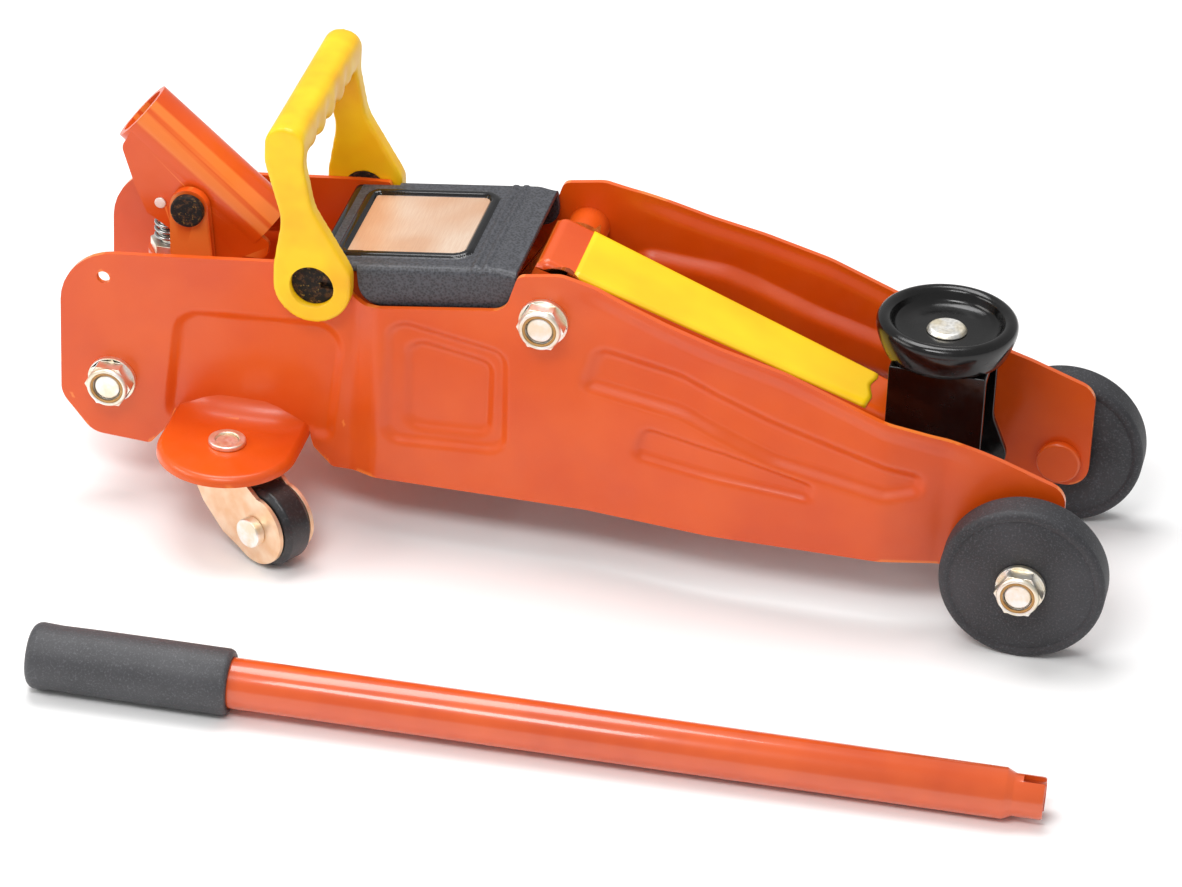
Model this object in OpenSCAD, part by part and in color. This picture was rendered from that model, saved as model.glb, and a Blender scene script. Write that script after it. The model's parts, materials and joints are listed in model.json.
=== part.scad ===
// Two-tonne hydraulic trolley jack with its loose pump bar lying beside it.
// Working frame: x = 0 on the front axle, y = 0 on the centre plane, z = 0 on the floor,
// +X towards the front wheels. The finished part is then centred over its own footprint.

/* [Frame] */
// Distance from the front axle to the rear edge of the side plates
frame_l = 421; // [400:1:520]
// Width over the side plates at the front
frame_w = 88; // [82:1:120]
// Step in towards the centre of each side plate behind the bend
rear_step = 4; // [2:0.5:6]
// Step out of the side plate's bulged front panel
bulge = 6; // [2:0.5:8]
// Thickness of the pressed side plates
sheet = 2.5; // [2:0.1:3.2]
// Depth of the stiffening recesses pressed into the plates
press_depth = 1.4; // [0.8:0.1:1.8]

/* [Front wheels] */
// Diameter of the front wheels
wheel_d = 70; // [56:1:84]
// Width of the front wheels
wheel_w = 15.5; // [12:0.5:20]
// Diameter of the front axle, the lift pivot and the tie rod
shaft_d = 12; // [10:0.5:14]

/* [Casters] */
// Diameter of the rear caster wheels
caster_d = 36; // [30:1:38]
// Distance from the swivel axis to the caster wheel's axle
caster_trail = 27; // [22:1:30]
// Radius of the half-round shelf over each caster
shelf_r = 30; // [28:1:34]
// Angle that the casters are swivelled outwards
caster_turn = 30; // [0:5:45]

/* [Lift arm] */
// Height of the lift pivot
pivot_z = 116; // [108:1:122]
// Distance of the lift pivot behind the front axle
pivot_x = 210; // [190:1:230]
// Distance of the saddle pin behind the front axle
saddle_x = 50; // [42:1:56]
// Height of the saddle pin with the jack lowered
saddle_pin_z = 58; // [52:1:64]
// Half width of the arm at the lift pivot
arm_half = 21; // [18:0.5:23]
// Thickness of the arm's plate
arm_t = 4; // [3:0.5:5]
// Radius of the crank that the ram pushes
crank_r = 45; // [40:1:48]
// Height that the saddle's rim has with the jack lowered
saddle_z = 121; // [118:1:126]
// Diameter of the saddle
saddle_d = 59.5; // [54:0.5:66]

/* [Hydraulic unit] */
// Outside diameter of the reservoir tube
reservoir_d = 58; // [48:1:60]
// Diameter of the ram
ram_d = 18; // [14:1:22]
// Diameter of the pump plunger
plunger_d = 10; // [8:0.5:12]

/* [Handle] */
// Diameter of the pump bar's tube
bar_d = 21; // [18:0.5:24]
// Length of the pump bar over its grip
bar_l = 416; // [360:1:430]
// Diameter of the grip
grip_d = 27.5; // [25:0.5:32]
// Slope of the socket with the bar put away
socket_slope = 40; // [30:1:50]
// Thickness of the carry handle's side arms
bail_t = 7.6; // [6:0.2:9]
// Height of the carry handle's grip above its pivots
bail_h = 65; // [56:1:80]

/* [Hidden] */
$fn = 64;

// Clearances: running fits, and gaps between pieces that pass each other.
run = 0.06;
gap = 0.3;
eps = 0.01;

// Places that follow from the frame.
y_front = frame_w / 2;
y_rear = y_front - rear_step;
y_front_in = y_front - sheet;
y_rear_in = y_rear - sheet;
shaft_r = shaft_d / 2;
axle_z = wheel_d / 2;
x_rear = -frame_l;
x_bend = x_rear + 129.5;
bend_l = 10;
tie = [x_rear + 23, 55];
caster = [x_rear + 80, y_rear + 22];
shelf_z = 45;
base_t = 3;
plate_bottom = 27.5;
wheel_in = y_front + 4.3;
nut_t = 8;
nut_r = 10.5;
shaft_proud = 0.6;

// Lift arm: pivot, saddle pin, slope and crank.
arm_a = [-pivot_x, pivot_z];
arm_b = [-saddle_x, saddle_pin_z];
arm_l = norm(arm_b - arm_a);
arm_slope = atan2(arm_a[1] - arm_b[1], arm_b[0] - arm_a[0]);
lift_deg = 72;
crank = arm_a + crank_r * [-sin(lift_deg / 2), -cos(lift_deg / 2)];
crank_pin_r = 5;
arm_top = 12.5;
arm_front_half = arm_half - 7;
link_off = [7, -21];
link_t = 4;
link_in = arm_half + 2.5;
link_pin_r = 4;

// Hydraulic unit: the ram's axis lies midway between the crank pin's highest and lowest place.
ram_z = pivot_z - crank_r * (1 + cos(lift_deg / 2)) / 2;
ram_stroke = 2 * crank_r * sin(lift_deg / 2);
reservoir_r = reservoir_d / 2;
x_block_rear = x_rear + 43;
x_block_front = x_rear + 91;
yoke_half = 12.2;
x_cap_front = crank[0] - yoke_half - 6.3;
cap_t = 12;
x_cap_rear = x_cap_front - cap_t;
bore_r = ram_d / 2 + 4;
cyl_wall = 4;
base_top = min(shelf_z + 0.5, ram_z - reservoir_r - 0.3);
block_half = 19.2;
block_top = 84;

// Handle socket: pivot, tube axis and pump plunger.
sock_p = [x_rear + 50.3, 130.4];
sock_in = bar_d / 2 + 0.5;
sock_out = sock_in + 3;
sock_f = [cos(socket_slope), -sin(socket_slope)];
sock_n = [sin(socket_slope), cos(socket_slope)];
sock_rise = sock_out - 5.1;
sock_mouth = sock_p - 41.3 * sock_f + sock_rise * sock_n;
sock_l = 72;
ear_t = 4;
ear_in = sock_out + 0.7;
roller_r = 4.5;
roller = sock_p + 14 * [cos(187.5), sin(187.5)];
plunger_x = sock_p[0] - 12.8;
plunger_r = plunger_d / 2;
plunger_top = roller[1] - roller_r - gap;
gland_top = 104;
boss_z = tie[1] + 9.5;
screw_at = [15, 72];

// Carry handle.
bail_eye = [x_rear + 112, 118];
bail_r = 16.75;
bail_bore = 9.5;
bail_in = y_rear + 0.4;
bail_top = bail_eye + bail_h * [-sin(11), cos(11)];
bail_grip = [17, 18];

// Top cover.
cover_a = [x_rear + 109, 123.6];
cover_b = [arm_a[0] - 14, 134.9];
cover_slope = atan2(cover_b[1] - cover_a[1], cover_b[0] - cover_a[0]);
cover_l = norm(cover_b - cover_a);
cover_half = y_rear_in - 0.3;
cover_wide = cover_half + 2.2;
cover_t = 2.5;
skirt_h = 18.5;

// Pump bar on the floor beside the jack.
bar_yaw = 2.34;
bar_end = [x_rear + 35, -(caster[1] + shelf_r) - 103];
grip_l = 84;
tip_l = 16;
tip_r = bar_d / 2 - 1.8;
bar_tilt = asin((grip_d - bar_d) / 2 / (bar_l - grip_l / 2));

// Footprint, for the part's own origin.
y_far = caster[1] + shelf_r;
y_near = bar_end[1] - grip_d / 2 * cos(bar_yaw);
origin = [(wheel_d / 2 + x_rear) / 2, (y_far + y_near) / 2, 0];

// ---- Shared shapes -------------------------------------------------------------------------

// Points of one corner b, rounded to radius r between its neighbours a and c.
function corner(a, b, c, r) =
  let (u = (a - b) / norm(a - b), v = (c - b) / norm(c - b))
  r == 0 || norm(u + v) < 0.02 ? [b] :
  let (
    half = acos(u * v) / 2,
    o = b + (u + v) / norm(u + v) * r / sin(half),
    p = b + u * r / tan(half) - o,
    q = b + v * r / tan(half) - o,
    a0 = atan2(p[1], p[0]),
    turn = (atan2(q[1], q[0]) - a0 + 540) % 360 - 180
  )
  [for (i = [0:6]) o + r * [cos(a0 + turn * i / 6), sin(a0 + turn * i / 6)]];

// A closed outline whose points are [x, z, corner radius].
function rounded(pts) =
  let (n = len(pts), p = [for (k = pts) [k[0], k[1]]])
  [for (i = [0:n - 1]) each corner(p[(i + n - 1) % n], p[i], p[(i + 1) % n], pts[i][2])];

// Flat strap around two circles, with straight tangent sides.
module strap(p, pr, q, qr) {
  base = atan2(q[1] - p[1], q[0] - p[0]);
  beta = acos((pr - qr) / norm(q - p));
  side = [cos(base + beta), sin(base + beta)];
  other = [cos(base - beta), sin(base - beta)];
  a = pr - 2 * eps;
  b = qr - 2 * eps;
  translate(p) circle(pr);
  translate(q) circle(qr);
  polygon([p + a * side, q + b * side, q + b * other, p + a * other]);
}

// A plane outline drawn in X and Z, given thickness from y0 to y1.
module slab(y0, y1) translate([0, y1, 0]) rotate([90, 0, 0]) linear_extrude(y1 - y0) children();

// A round bar or bore along Y at the X-Z point at.
module round_y(at, r, y0, y1) translate([at[0], y0, at[1]]) rotate([-90, 0, 0]) cylinder(r = r, h = y1 - y0);

// A round bar or bore along X at the Y-Z point at.
module round_x(at, r, x0, x1) translate([x0, at[0], at[1]]) rotate([0, 90, 0]) cylinder(r = r, h = x1 - x0);

module tube_y(at, r_out, r_in, y0, y1) {
  difference() {
    round_y(at, r_out, y0, y1);
    round_y(at, r_in, y0 - 1, y1 + 1);
  }
}

// The same shape on both sides of the centre plane.
module both() {
  children();
  mirror([0, 1, 0]) children();
}

module placed() translate(-origin) children();

// Hexagon nut with a round flange, standing along +Y from y0 at the X-Z point at.
module flange_nut(at, y0, bore, r = nut_r, t = nut_t) {
  difference() {
    union() {
      round_y(at, r, y0, y0 + 2.2);
      translate([at[0], y0 + 2, at[1]]) rotate([-90, 0, 0]) cylinder(r = r * 0.97, h = t - 2, $fn = 6);
    }
    round_y(at, bore, y0 - 1, y0 + t + 1);
  }
}

// ---- Side plates ---------------------------------------------------------------------------

// Side view of a plate. The cover's notch is cut from its top edge.
notch_a = bail_eye[0] + 12;
notch_slope = tan(cover_slope);
function notch_z(x) = cover_a[1] + (x - cover_a[0]) * notch_slope - skirt_h + 1.5;
// Half length of the gap that the swivelling caster needs under the plate.
swing = sqrt(pow(caster_trail + caster_d / 2 + 1, 2) - pow(caster[1] - y_rear, 2)) + 1;
plate_outline = rounded([
  [x_rear, 113, 26], [cover_a[0], 124.5, 0], [notch_a, 125.5, 1.5],
  [notch_a + 4, notch_z(notch_a), 8], [cover_b[0] - 3, notch_z(cover_b[0]), 8],
  [cover_b[0] + 2, 135, 4], [arm_a[0] + 6, 138, 12], [arm_a[0] + 22, 134.5, 12],
  [arm_a[0] + 52, 125, 40], [-106, 111.5, 60], [-66, 96, 60], [-15, 81, 30], [13, 71, 9],
  [13, 23, 10], [-3, 23, 5], [-20, plate_bottom, 8], [caster[0] + swing, plate_bottom, 3],
  [caster[0] + shelf_r + 2, caster_d, 2], [caster[0] + shelf_r, shelf_z - sheet, 0],
  [caster[0] - shelf_r, shelf_z - sheet, 0], [caster[0] - shelf_r - 2, caster_d, 2],
  [caster[0] - swing, 25.5, 3], [x_rear + 14, 27, 10], [x_rear, 44, 12],
]);

// Plan view of a plate's sheet, pushed inwards by shift.
module plate_plan(shift) {
  outer = [
    [x_rear - 1, y_rear], [x_bend, y_rear], [x_bend + bend_l, y_front], [arm_a[0] + 20, y_front],
    [arm_a[0] + 75, y_front + bulge], [-62, y_front + bulge], [-38, y_front], [20, y_front],
  ];
  polygon([
    for (p = outer) p - [0, shift],
    for (i = [len(outer) - 1:-1:0]) outer[i] - [0, shift + sheet],
  ]);
}

module plate_sheet(shift) {
  intersection() {
    slab(0, y_front + bulge + 1) children();
    linear_extrude(200) plate_plan(shift);
  }
}

// Square panel pressed in two steps behind the lift pivot.
square_outer = rounded([
  [x_bend + 22, 47, 8], [arm_a[0] - 16, 50, 8], [arm_a[0] - 17, 98, 9], [x_bend + 22, 107, 9],
]);
square_inner = rounded([
  [x_bend + 33, 57, 6], [arm_a[0] - 24, 59, 6], [arm_a[0] - 24, 90, 6], [x_bend + 33, 96, 6],
]);
// Long tapering flute below the arm, and a shorter one under it.
flute_long = rounded([
  [arm_a[0] + 16, 86, 4], [-150, 82, 30], [-110, 66, 30], [-62, 57, 4], [-47, 60, 5], [-46, 70, 5],
  [-62, 74, 10], [-110, 88, 40], [-150, 103, 30], [arm_a[0] + 22, 108, 8],
]);
flute_short = rounded([
  [arm_a[0] + 40, 58, 4], [-92, 51, 3], [-92, 60, 3], [-130, 69, 20], [arm_a[0] + 44, 74, 6],
]);
// Shallow panel over the caster shelf.
rear_panel = rounded([
  [caster[0] - 28, 56, 4], [caster[0] + 32, 56, 4], [caster[0] + 38, 97, 10],
  [caster[0] - 22, 92, 10],
]);

module pressings() {
  polygon(square_outer);
  polygon(flute_long);
  polygon(flute_short);
  polygon(rear_panel);
}

// Shelf over the caster: a ledge with a half-round, turned-down rim and a fillet to the plate.
module caster_shelf() {
  fillet_r = 9;
  translate([0, 0, shelf_z - sheet]) linear_extrude(sheet) {
    intersection() {
      translate(caster) circle(shelf_r);
      translate([caster[0] - shelf_r, y_rear_in]) square([2 * shelf_r, 2 * shelf_r]);
    }
    translate([caster[0] - shelf_r, y_rear_in]) square([2 * shelf_r, caster[1] - y_rear_in]);
  }
  translate([caster[0], caster[1], shelf_z - sheet - 2]) difference() {
    cylinder(r = shelf_r, h = 2 + eps);
    translate([0, 0, -1]) cylinder(r = shelf_r - sheet, h = 4);
    translate([-shelf_r - 1, -shelf_r - 1, -1]) cube([2 * shelf_r + 2, shelf_r + 1, 4]);
  }
  translate([caster[0] - shelf_r, y_rear - eps, shelf_z - eps]) rotate([90, 0, 90])
    linear_extrude(2 * shelf_r) difference() {
      square(fillet_r);
      translate([fillet_r, fillet_r]) circle(fillet_r);
    }
}

module side_plate_holes() {
  reach = y_front + bulge + 2;
  for (at = [[0, axle_z], arm_a, tie]) round_y(at, shaft_r + run, 0, reach);
  round_y(bail_eye, 4 + run, 0, reach);
  round_y([x_rear + 19, 103.5], 2.8, 0, reach);
  translate([caster[0], caster[1], 0]) cylinder(r = 5 + run, h = 100);
}

module side_plate() {
  difference() {
    union() {
      plate_sheet(0) difference() {
        polygon(plate_outline);
        pressings();
      }
      plate_sheet(press_depth) difference() {
        pressings();
        polygon(square_inner);
      }
      plate_sheet(press_depth * 1.8) polygon(square_inner);
      caster_shelf();
    }
    side_plate_holes();
  }
}

module left_side_plate() color("orangered") side_plate();

module right_side_plate() color("orangered") mirror([0, 1, 0]) side_plate();

// ---- Frame members -------------------------------------------------------------------------

module base_plate() {
  x0 = tie[0] + 3;
  difference() {
    color("orangered") translate([x0, -y_rear_in, base_top - base_t])
      cube([x_bend - 1 - x0, 2 * y_rear_in, base_t]);
    for (x = [x_block_rear + 12, x_block_front - 12])
      translate([x, 0, 0]) cylinder(r = 4 + run, h = 100);
  }
}

// Stub axles, each welded through its plate, with a boss round the weld on the inside.
boss_t = 4;

module front_axle() color("silver") both()
  round_y([0, axle_z], shaft_r, y_front_in - boss_t + 1, wheel_in + wheel_w + 0.3 + nut_t + shaft_proud);

module front_axle_bosses() color("orangered") both() difference() {
  round_y([0, axle_z], shaft_r + 3.5, y_front_in - boss_t, y_front_in);
  round_y([0, axle_z], shaft_r + run, y_front_in - boss_t + 1, y_front_in + 1);
}

module flange_nuts() {
  color("ghostwhite") both() {
    flange_nut([0, axle_z], wheel_in + wheel_w + 0.3, shaft_r + run);
    flange_nut(arm_a, y_front, shaft_r + run);
    flange_nut(tie, y_rear, shaft_r + run);
  }
}

module lift_pivot_shaft() color("silver")
  round_y(arm_a, shaft_r, -(y_front + nut_t + shaft_proud), y_front + nut_t + shaft_proud);

// Loose tubes that hold the wheels off the plates and keep the arm central.
module shaft_spacers() {
  color("silver") both() {
    tube_y([0, axle_z], 9, shaft_r + run, y_front, wheel_in - gap);
    tube_y(arm_a, 9, shaft_r + run, arm_half + gap, y_front_in);
  }
}

module rear_tie_rod() color("silver")
  round_y(tie, shaft_r, -(y_rear + nut_t + shaft_proud), y_rear + nut_t + shaft_proud);

module rear_tie_tube() color("orangered") tube_y(tie, 8, shaft_r + run, -y_rear_in, y_rear_in);

// Stub pins welded to the side plates' inner faces, for the levelling links' rear eyes.
module link_anchor_pins() {
  color("silver") both() {
    round_y(arm_a + link_off, link_pin_r, link_in - 1, y_front_in);
    round_y(arm_a + link_off, 6, link_in + link_t + gap, y_front_in);
  }
}

// ---- Hydraulic unit ------------------------------------------------------------------------

module pump_block() {
  ear = [
    [x_block_rear, block_top - 10], [sock_p[0] + 14, block_top - 10],
    [sock_p[0] + 8.5, sock_p[1]], [sock_p[0] - 8.5, sock_p[1]],
  ];
  color("orangered") difference() {
    union() {
      translate([x_block_rear, -block_half, base_top])
        cube([x_block_front - x_block_rear, 2 * block_half, block_top - base_top]);
      round_x([0, ram_z], reservoir_r - 2.5, x_block_front - 8, x_block_front);
      translate([plunger_x, 0, boss_z]) cylinder(r = 10, h = gland_top - 4 - boss_z);
      both() {
        slab(ear_in, ear_in + ear_t) {
          polygon(ear);
          translate(sock_p) circle(8.5);
        }
      }
    }
    translate([plunger_x, 0, boss_z + 2]) cylinder(r = plunger_r + run, h = 60);
    both() round_y(sock_p, 4.5 + run, ear_in - 1, ear_in + ear_t + 1);
    round_x([screw_at[0], screw_at[1]], 3 + run, x_block_rear - 1, x_block_rear + 20);
    for (x = [x_block_rear + 12, x_block_front - 12])
      translate([x, 0, base_top - 1]) cylinder(r = 4 + run, h = 13);
  }
}

module plunger_gland() {
  color("silver") translate([plunger_x, 0, gland_top - 4]) difference() {
    cylinder(r = 9.5, h = 4, $fn = 6);
    translate([0, 0, -1]) cylinder(r = plunger_r + run, h = 6);
  }
}

module reservoir_tube() {
  color("orangered") difference() {
    round_x([0, ram_z], reservoir_r, x_block_front, x_cap_rear);
    round_x([0, ram_z], reservoir_r - 2.5, x_block_front - 1, x_cap_rear + 1);
    translate([x_cap_rear - 35, 0, ram_z]) cylinder(r = 4 + run, h = 60);
  }
}

module pressure_cylinder() {
  color("silver") difference() {
    round_x([0, ram_z], bore_r + cyl_wall, x_block_front, x_cap_rear);
    round_x([0, ram_z], bore_r, x_block_front - 1, x_cap_rear + 1);
  }
}

module cylinder_cap() {
  color("dimgray") difference() {
    round_x([0, ram_z], reservoir_r + 0.8, x_cap_rear, x_cap_front);
    round_x([0, ram_z], ram_d / 2 + run, x_cap_rear - 1, x_cap_front + 1);
    round_x([0, ram_z], ram_d / 2 + 2.5, x_cap_front - 5, x_cap_front + 1);
  }
}

module rod_seal() {
  color("black") difference() {
    round_x([0, ram_z], ram_d / 2 + 2.5, x_cap_front - 5, x_cap_front - 1);
    round_x([0, ram_z], ram_d / 2 + run, x_cap_front - 6, x_cap_front);
  }
}

module filler_plug() {
  color("black") translate([x_cap_rear - 35, 0, ram_z + reservoir_r - 4]) {
    cylinder(r = 4, h = 5);
    translate([0, 0, 4.6]) cylinder(r = 6.5, h = 3.4);
  }
}

module socket_pivot_pins() {
  color("black") both() {
    round_y(sock_p, 4.5, sock_in + 0.6, ear_in + ear_t + 0.5);
    round_y(sock_p, 7.25, ear_in + ear_t, ear_in + ear_t + 3.8);
  }
}

module block_screws() {
  color("silver") for (x = [x_block_rear + 12, x_block_front - 12]) translate([x, 0, 0]) {
    translate([0, 0, base_top - base_t]) cylinder(r = 4, h = base_t + 10);
    translate([0, 0, base_top - base_t - 5]) cylinder(r = 7.5, h = 5, $fn = 6);
  }
}

module release_screw() {
  color("silver") difference() {
    union() {
      round_x(screw_at, 3, x_block_rear - 4, x_block_rear + 18);
      round_x(screw_at, 4.5, x_block_rear - 13, x_block_rear - 0.3);
    }
    translate([x_block_rear - 14, screw_at[0] - 5, screw_at[1] - 1]) cube([5, 10, 2]);
  }
}

// ---- Cover and carry handle ----------------------------------------------------------------

module on_cover() translate([cover_a[0], 0, cover_a[1]]) rotate([0, -cover_slope, 0]) children();

// Outline of the cover in plan: narrow between the plates, wider over the notch.
module cover_plan(inset) {
  step = notch_a + 5 - cover_a[0];
  polygon([
    [inset, -cover_half + inset], [step + inset, -cover_half + inset],
    [step + inset, -cover_wide + inset], [cover_l - inset, -cover_wide + inset],
    [cover_l - inset, cover_wide - inset], [step + inset, cover_wide - inset],
    [step + inset, cover_half - inset], [inset, cover_half - inset],
  ]);
}

module top_cover() {
  step = notch_a + 5 - cover_a[0];
  skirt = rounded([
    [step, 0, 0], [cover_l, 0, 0], [cover_l, -skirt_h, 6], [step, -skirt_h, 10],
  ]);
  color("dimgray") on_cover() {
    difference() {
      translate([0, 0, -cover_t]) linear_extrude(cover_t) cover_plan(0);
      translate([12, -26, -0.9]) cube([51, 52, 2]);
    }
    both() slab(cover_wide - 2, cover_wide) polygon(skirt);
    for (i = [0:1]) translate([cover_l - 19 + 4.6 * i, -cover_half, 0]) cube([2, 2 * cover_half, 0.8]);
  }
}

module cover_nameplate() color("peachpuff") on_cover() translate([12.2, -25.8, -0.9]) cube([50.6, 51.6, 0.7]);

module carry_handle_bolts() {
  color("black") both() difference() {
    union() {
      round_y(bail_eye, 4, y_rear_in, y_rear + 1);
      round_y(bail_eye, bail_bore - 0.08, y_rear, bail_in + bail_t - 3.5);
    }
    translate([bail_eye[0] + 3, bail_in + bail_t - 6, bail_eye[1] - 1.5]) cube([8, 4, 3]);
  }
}

module carry_handle() {
  grip = rounded([
    for (c = [[-1, -1], [1, -1], [1, 1], [-1, 1]])
      [bail_top[0] + c[0] * bail_grip[0] / 2, bail_top[1] + c[1] * bail_grip[1] / 2, 7],
  ]);
  color("gold") difference() {
    union() {
      both() slab(bail_in, bail_in + bail_t) strap(bail_eye, bail_r, bail_top, bail_grip[0] / 2);
      slab(-bail_in - eps, bail_in + eps) polygon(grip);
    }
    both() round_y(bail_eye, bail_bore, bail_in - 1, bail_in + bail_t + 1);
  }
}

// ---- Wheels --------------------------------------------------------------------------------

// Wheel around +Z with chamfered edges and a shallow ring on each face.
module wheel(r, w, bore, ring) {
  edge = min(2.2, w / 6);
  rotate_extrude() polygon([
    [bore, 0], [ring, 0], [ring + 1, 1], [ring + 3, 1], [ring + 4, 0], [r - edge, 0], [r, edge],
    [r, w - edge], [r - edge, w], [ring + 4, w], [ring + 3, w - 1], [ring + 1, w - 1], [ring, w],
    [bore, w],
  ]);
}

module front_wheel()
  translate([0, wheel_in, axle_z]) rotate([-90, 0, 0]) wheel(axle_z, wheel_w, shaft_r + run, 12);

module left_front_wheel() color("dimgray") front_wheel();

module right_front_wheel() color("dimgray") mirror([0, 1, 0]) front_wheel();

// Caster pieces are drawn trailing along +X and turned about the swivel axis.
fork_t = 2;
fork_in = 8;
fork_top = shelf_z - sheet - 2;
caster_r = caster_d / 2;

module at_caster() translate([caster[0], caster[1], 0]) rotate([0, 0, caster_turn]) children();

module caster_fork() {
  eye = caster_r - 2.5;
  cheek = [
    [-13, fork_top], [17, fork_top], [caster_trail + eye * 0.9, caster_r + eye * 0.436],
    [caster_trail - eye * 0.574, caster_r - eye * 0.819], [8, caster_r - 9], [-4, caster_r + 1],
    [-12, caster_r + 13],
  ];
  difference() {
    union() {
      translate([-13, -fork_in - fork_t, fork_top - 3]) cube([26, 2 * (fork_in + fork_t), 3]);
      both() slab(fork_in, fork_in + fork_t) {
        polygon(cheek);
        translate([caster_trail, caster_r]) circle(eye);
      }
    }
    translate([0, 0, fork_top - 10]) cylinder(r = 5 + run, h = 20);
    round_y([caster_trail, caster_r], 3.5 + run, -20, 20);
  }
}

module caster_race() {
  translate([0, 0, fork_top + 0.1]) difference() {
    cylinder(r = 13, h = 1.8);
    translate([0, 0, -1]) cylinder(r = 5 + run, h = 4);
  }
}

module caster_axle() {
  round_y([caster_trail, caster_r], 3.5, -fork_in - fork_t - 1, fork_in + fork_t + 1);
  both() round_y([caster_trail, caster_r], 6.5, fork_in + fork_t, fork_in + fork_t + 4.5);
}

module caster_wheel() {
  translate([caster_trail, -fork_in + 0.7, caster_r]) rotate([-90, 0, 0])
    wheel(caster_r, 2 * (fork_in - 0.7), 3.5 + run, 7);
}

module left_caster_fork() color("navajowhite") at_caster() caster_fork();

module left_caster_race() color("silver") at_caster() caster_race();

module left_caster_axle() color("ghostwhite") at_caster() caster_axle();

module left_caster_wheel() color("black") at_caster() caster_wheel();

module right_caster_fork() color("navajowhite") mirror([0, 1, 0]) at_caster() caster_fork();

module right_caster_race() color("silver") mirror([0, 1, 0]) at_caster() caster_race();

module right_caster_axle() color("ghostwhite") mirror([0, 1, 0]) at_caster() caster_axle();

module right_caster_wheel() color("black") mirror([0, 1, 0]) at_caster() caster_wheel();

rivet_h = 2.2;

module swivel_bolts() {
  color("silver") both() translate([caster[0], caster[1], fork_top - 3 - 3.2]) {
    cylinder(r = 7, h = 3);
    cylinder(r = 5, h = shelf_z - fork_top + 3 + 3.2 + rivet_h - 0.8);
  }
}

module swivel_nuts() {
  color("ghostwhite") both() translate([caster[0], caster[1], shelf_z]) difference() {
    cylinder(r = 8, h = rivet_h);
    translate([0, 0, -1]) cylinder(r = 5 + run, h = 12);
  }
}

// ---- Lift arm, saddle and levelling links --------------------------------------------------

// The arm is drawn with its pivot at the origin and its saddle pin on +X.
module on_arm() translate([arm_a[0], 0, arm_a[1]]) rotate([0, arm_slope, 0]) children();

function arm_local(p) =
  let (d = p - arm_a, c = cos(arm_slope), s = sin(arm_slope)) [d[0] * c - d[1] * s, d[0] * s + d[1] * c];

module arm_plan(inset) {
  polygon([
    [-80, -arm_half + inset], [0, -arm_half + inset], [arm_l - 10, -arm_front_half + inset],
    [arm_l + 30, -arm_front_half + inset], [arm_l + 30, arm_front_half - inset],
    [arm_l - 10, arm_front_half - inset], [0, arm_half - inset], [-80, arm_half - inset],
  ]);
}

module lift_arm() {
  side = rounded([
    [-13, arm_top, 5], [arm_l + 12, arm_top, 11], [arm_l + 12, -12, 11], [110, -15, 30], [20, -13, 12],
    [-14, -13, 8],
  ]);
  pin = arm_local(crank);
  color("orangered") on_arm() difference() {
    intersection() {
      slab(-arm_half, arm_half) {
        polygon(side);
        strap([0, 0], arm_top - 0.1, pin, 10);
      }
      translate([0, 0, -100]) linear_extrude(200) arm_plan(0);
    }
    translate([0, 0, -100]) linear_extrude(100 + arm_top - arm_t) arm_plan(arm_t);
    round_y([0, 0], shaft_r + run, -50, 50);
    round_y([arm_l, 0], 5 + run, -50, 50);
    round_y(pin, crank_pin_r + run, -50, 50);
  }
}

module arm_label() {
  color("gold") on_arm() translate([0, 0, arm_top]) linear_extrude(0.4) polygon([
    [3, -arm_half + 2], [137, -arm_front_half], [137, arm_front_half], [3, arm_half - 2],
  ]);
}

module crank_pin() {
  color("silver") {
    round_y(crank, crank_pin_r, -arm_half - 1.5, arm_half + 1.5);
    both() round_y(crank, crank_pin_r + 1.5, arm_half, arm_half + 1.6);
  }
}

bracket_in = arm_front_half + 2.3;
bracket_t = 3.5;
bracket_out = bracket_in + bracket_t;
bracket_top = saddle_z - 16.5;
cup_depth = 7;

module saddle_pin() {
  color("silver") {
    round_y(arm_b, 5, -bracket_out - 1, bracket_out + 1);
    both() round_y(arm_b, 7, bracket_out + 0.1, bracket_out + 1.8);
  }
}

module saddle_bracket() {
  x_mid = arm_b[0] + 2.4;
  lug = arm_b + link_off;
  cheek = rounded([
    [x_mid - 20.5, bracket_top, 1], [x_mid + 20.5, bracket_top, 1], [x_mid + 20.5, 66, 14],
    [x_mid + 28, 48, 9], [lug[0] + 15, lug[1] - 10, 10], [lug[0] - 12, lug[1] - 10, 10],
    [x_mid - 20.5, 62, 20],
  ]);
  color("black") difference() {
    slab(-bracket_out, bracket_out) polygon(cheek);
    translate([arm_b[0] - 60, -bracket_in, 0]) cube([120, 2 * bracket_in, bracket_top - 4]);
    round_y(arm_b, 5 + run, -50, 50);
    round_y(lug, link_pin_r + run, -50, 50);
    translate([x_mid, 0, 50]) cylinder(r = 6 + run, h = 100);
  }
}

module link_pins() {
  color("silver") both() {
    round_y(arm_b + link_off, link_pin_r, bracket_in, link_in + link_t + 1);
    round_y(arm_b + link_off, 6.5, bracket_out, link_in - 0.2);
  }
}

module saddle() {
  r = saddle_d / 2;
  top = saddle_z;
  floor_z = top - cup_depth;
  low = bracket_top + 0.2;
  color("black") translate([arm_b[0] + 2.4, 0, 0]) difference() {
    rotate_extrude() polygon([
      [0, low], [r - 4.5, low], [r - 2.8, low + 3], [r - 1, top - 7], [r, top - 4], [r, top - 1],
      [r - 1, top], [r - 6, top], [r - 7.5, floor_z], [0, floor_z],
    ]);
    translate([0, 0, low - 1]) cylinder(r = 6, h = 30);
  }
}

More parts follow.
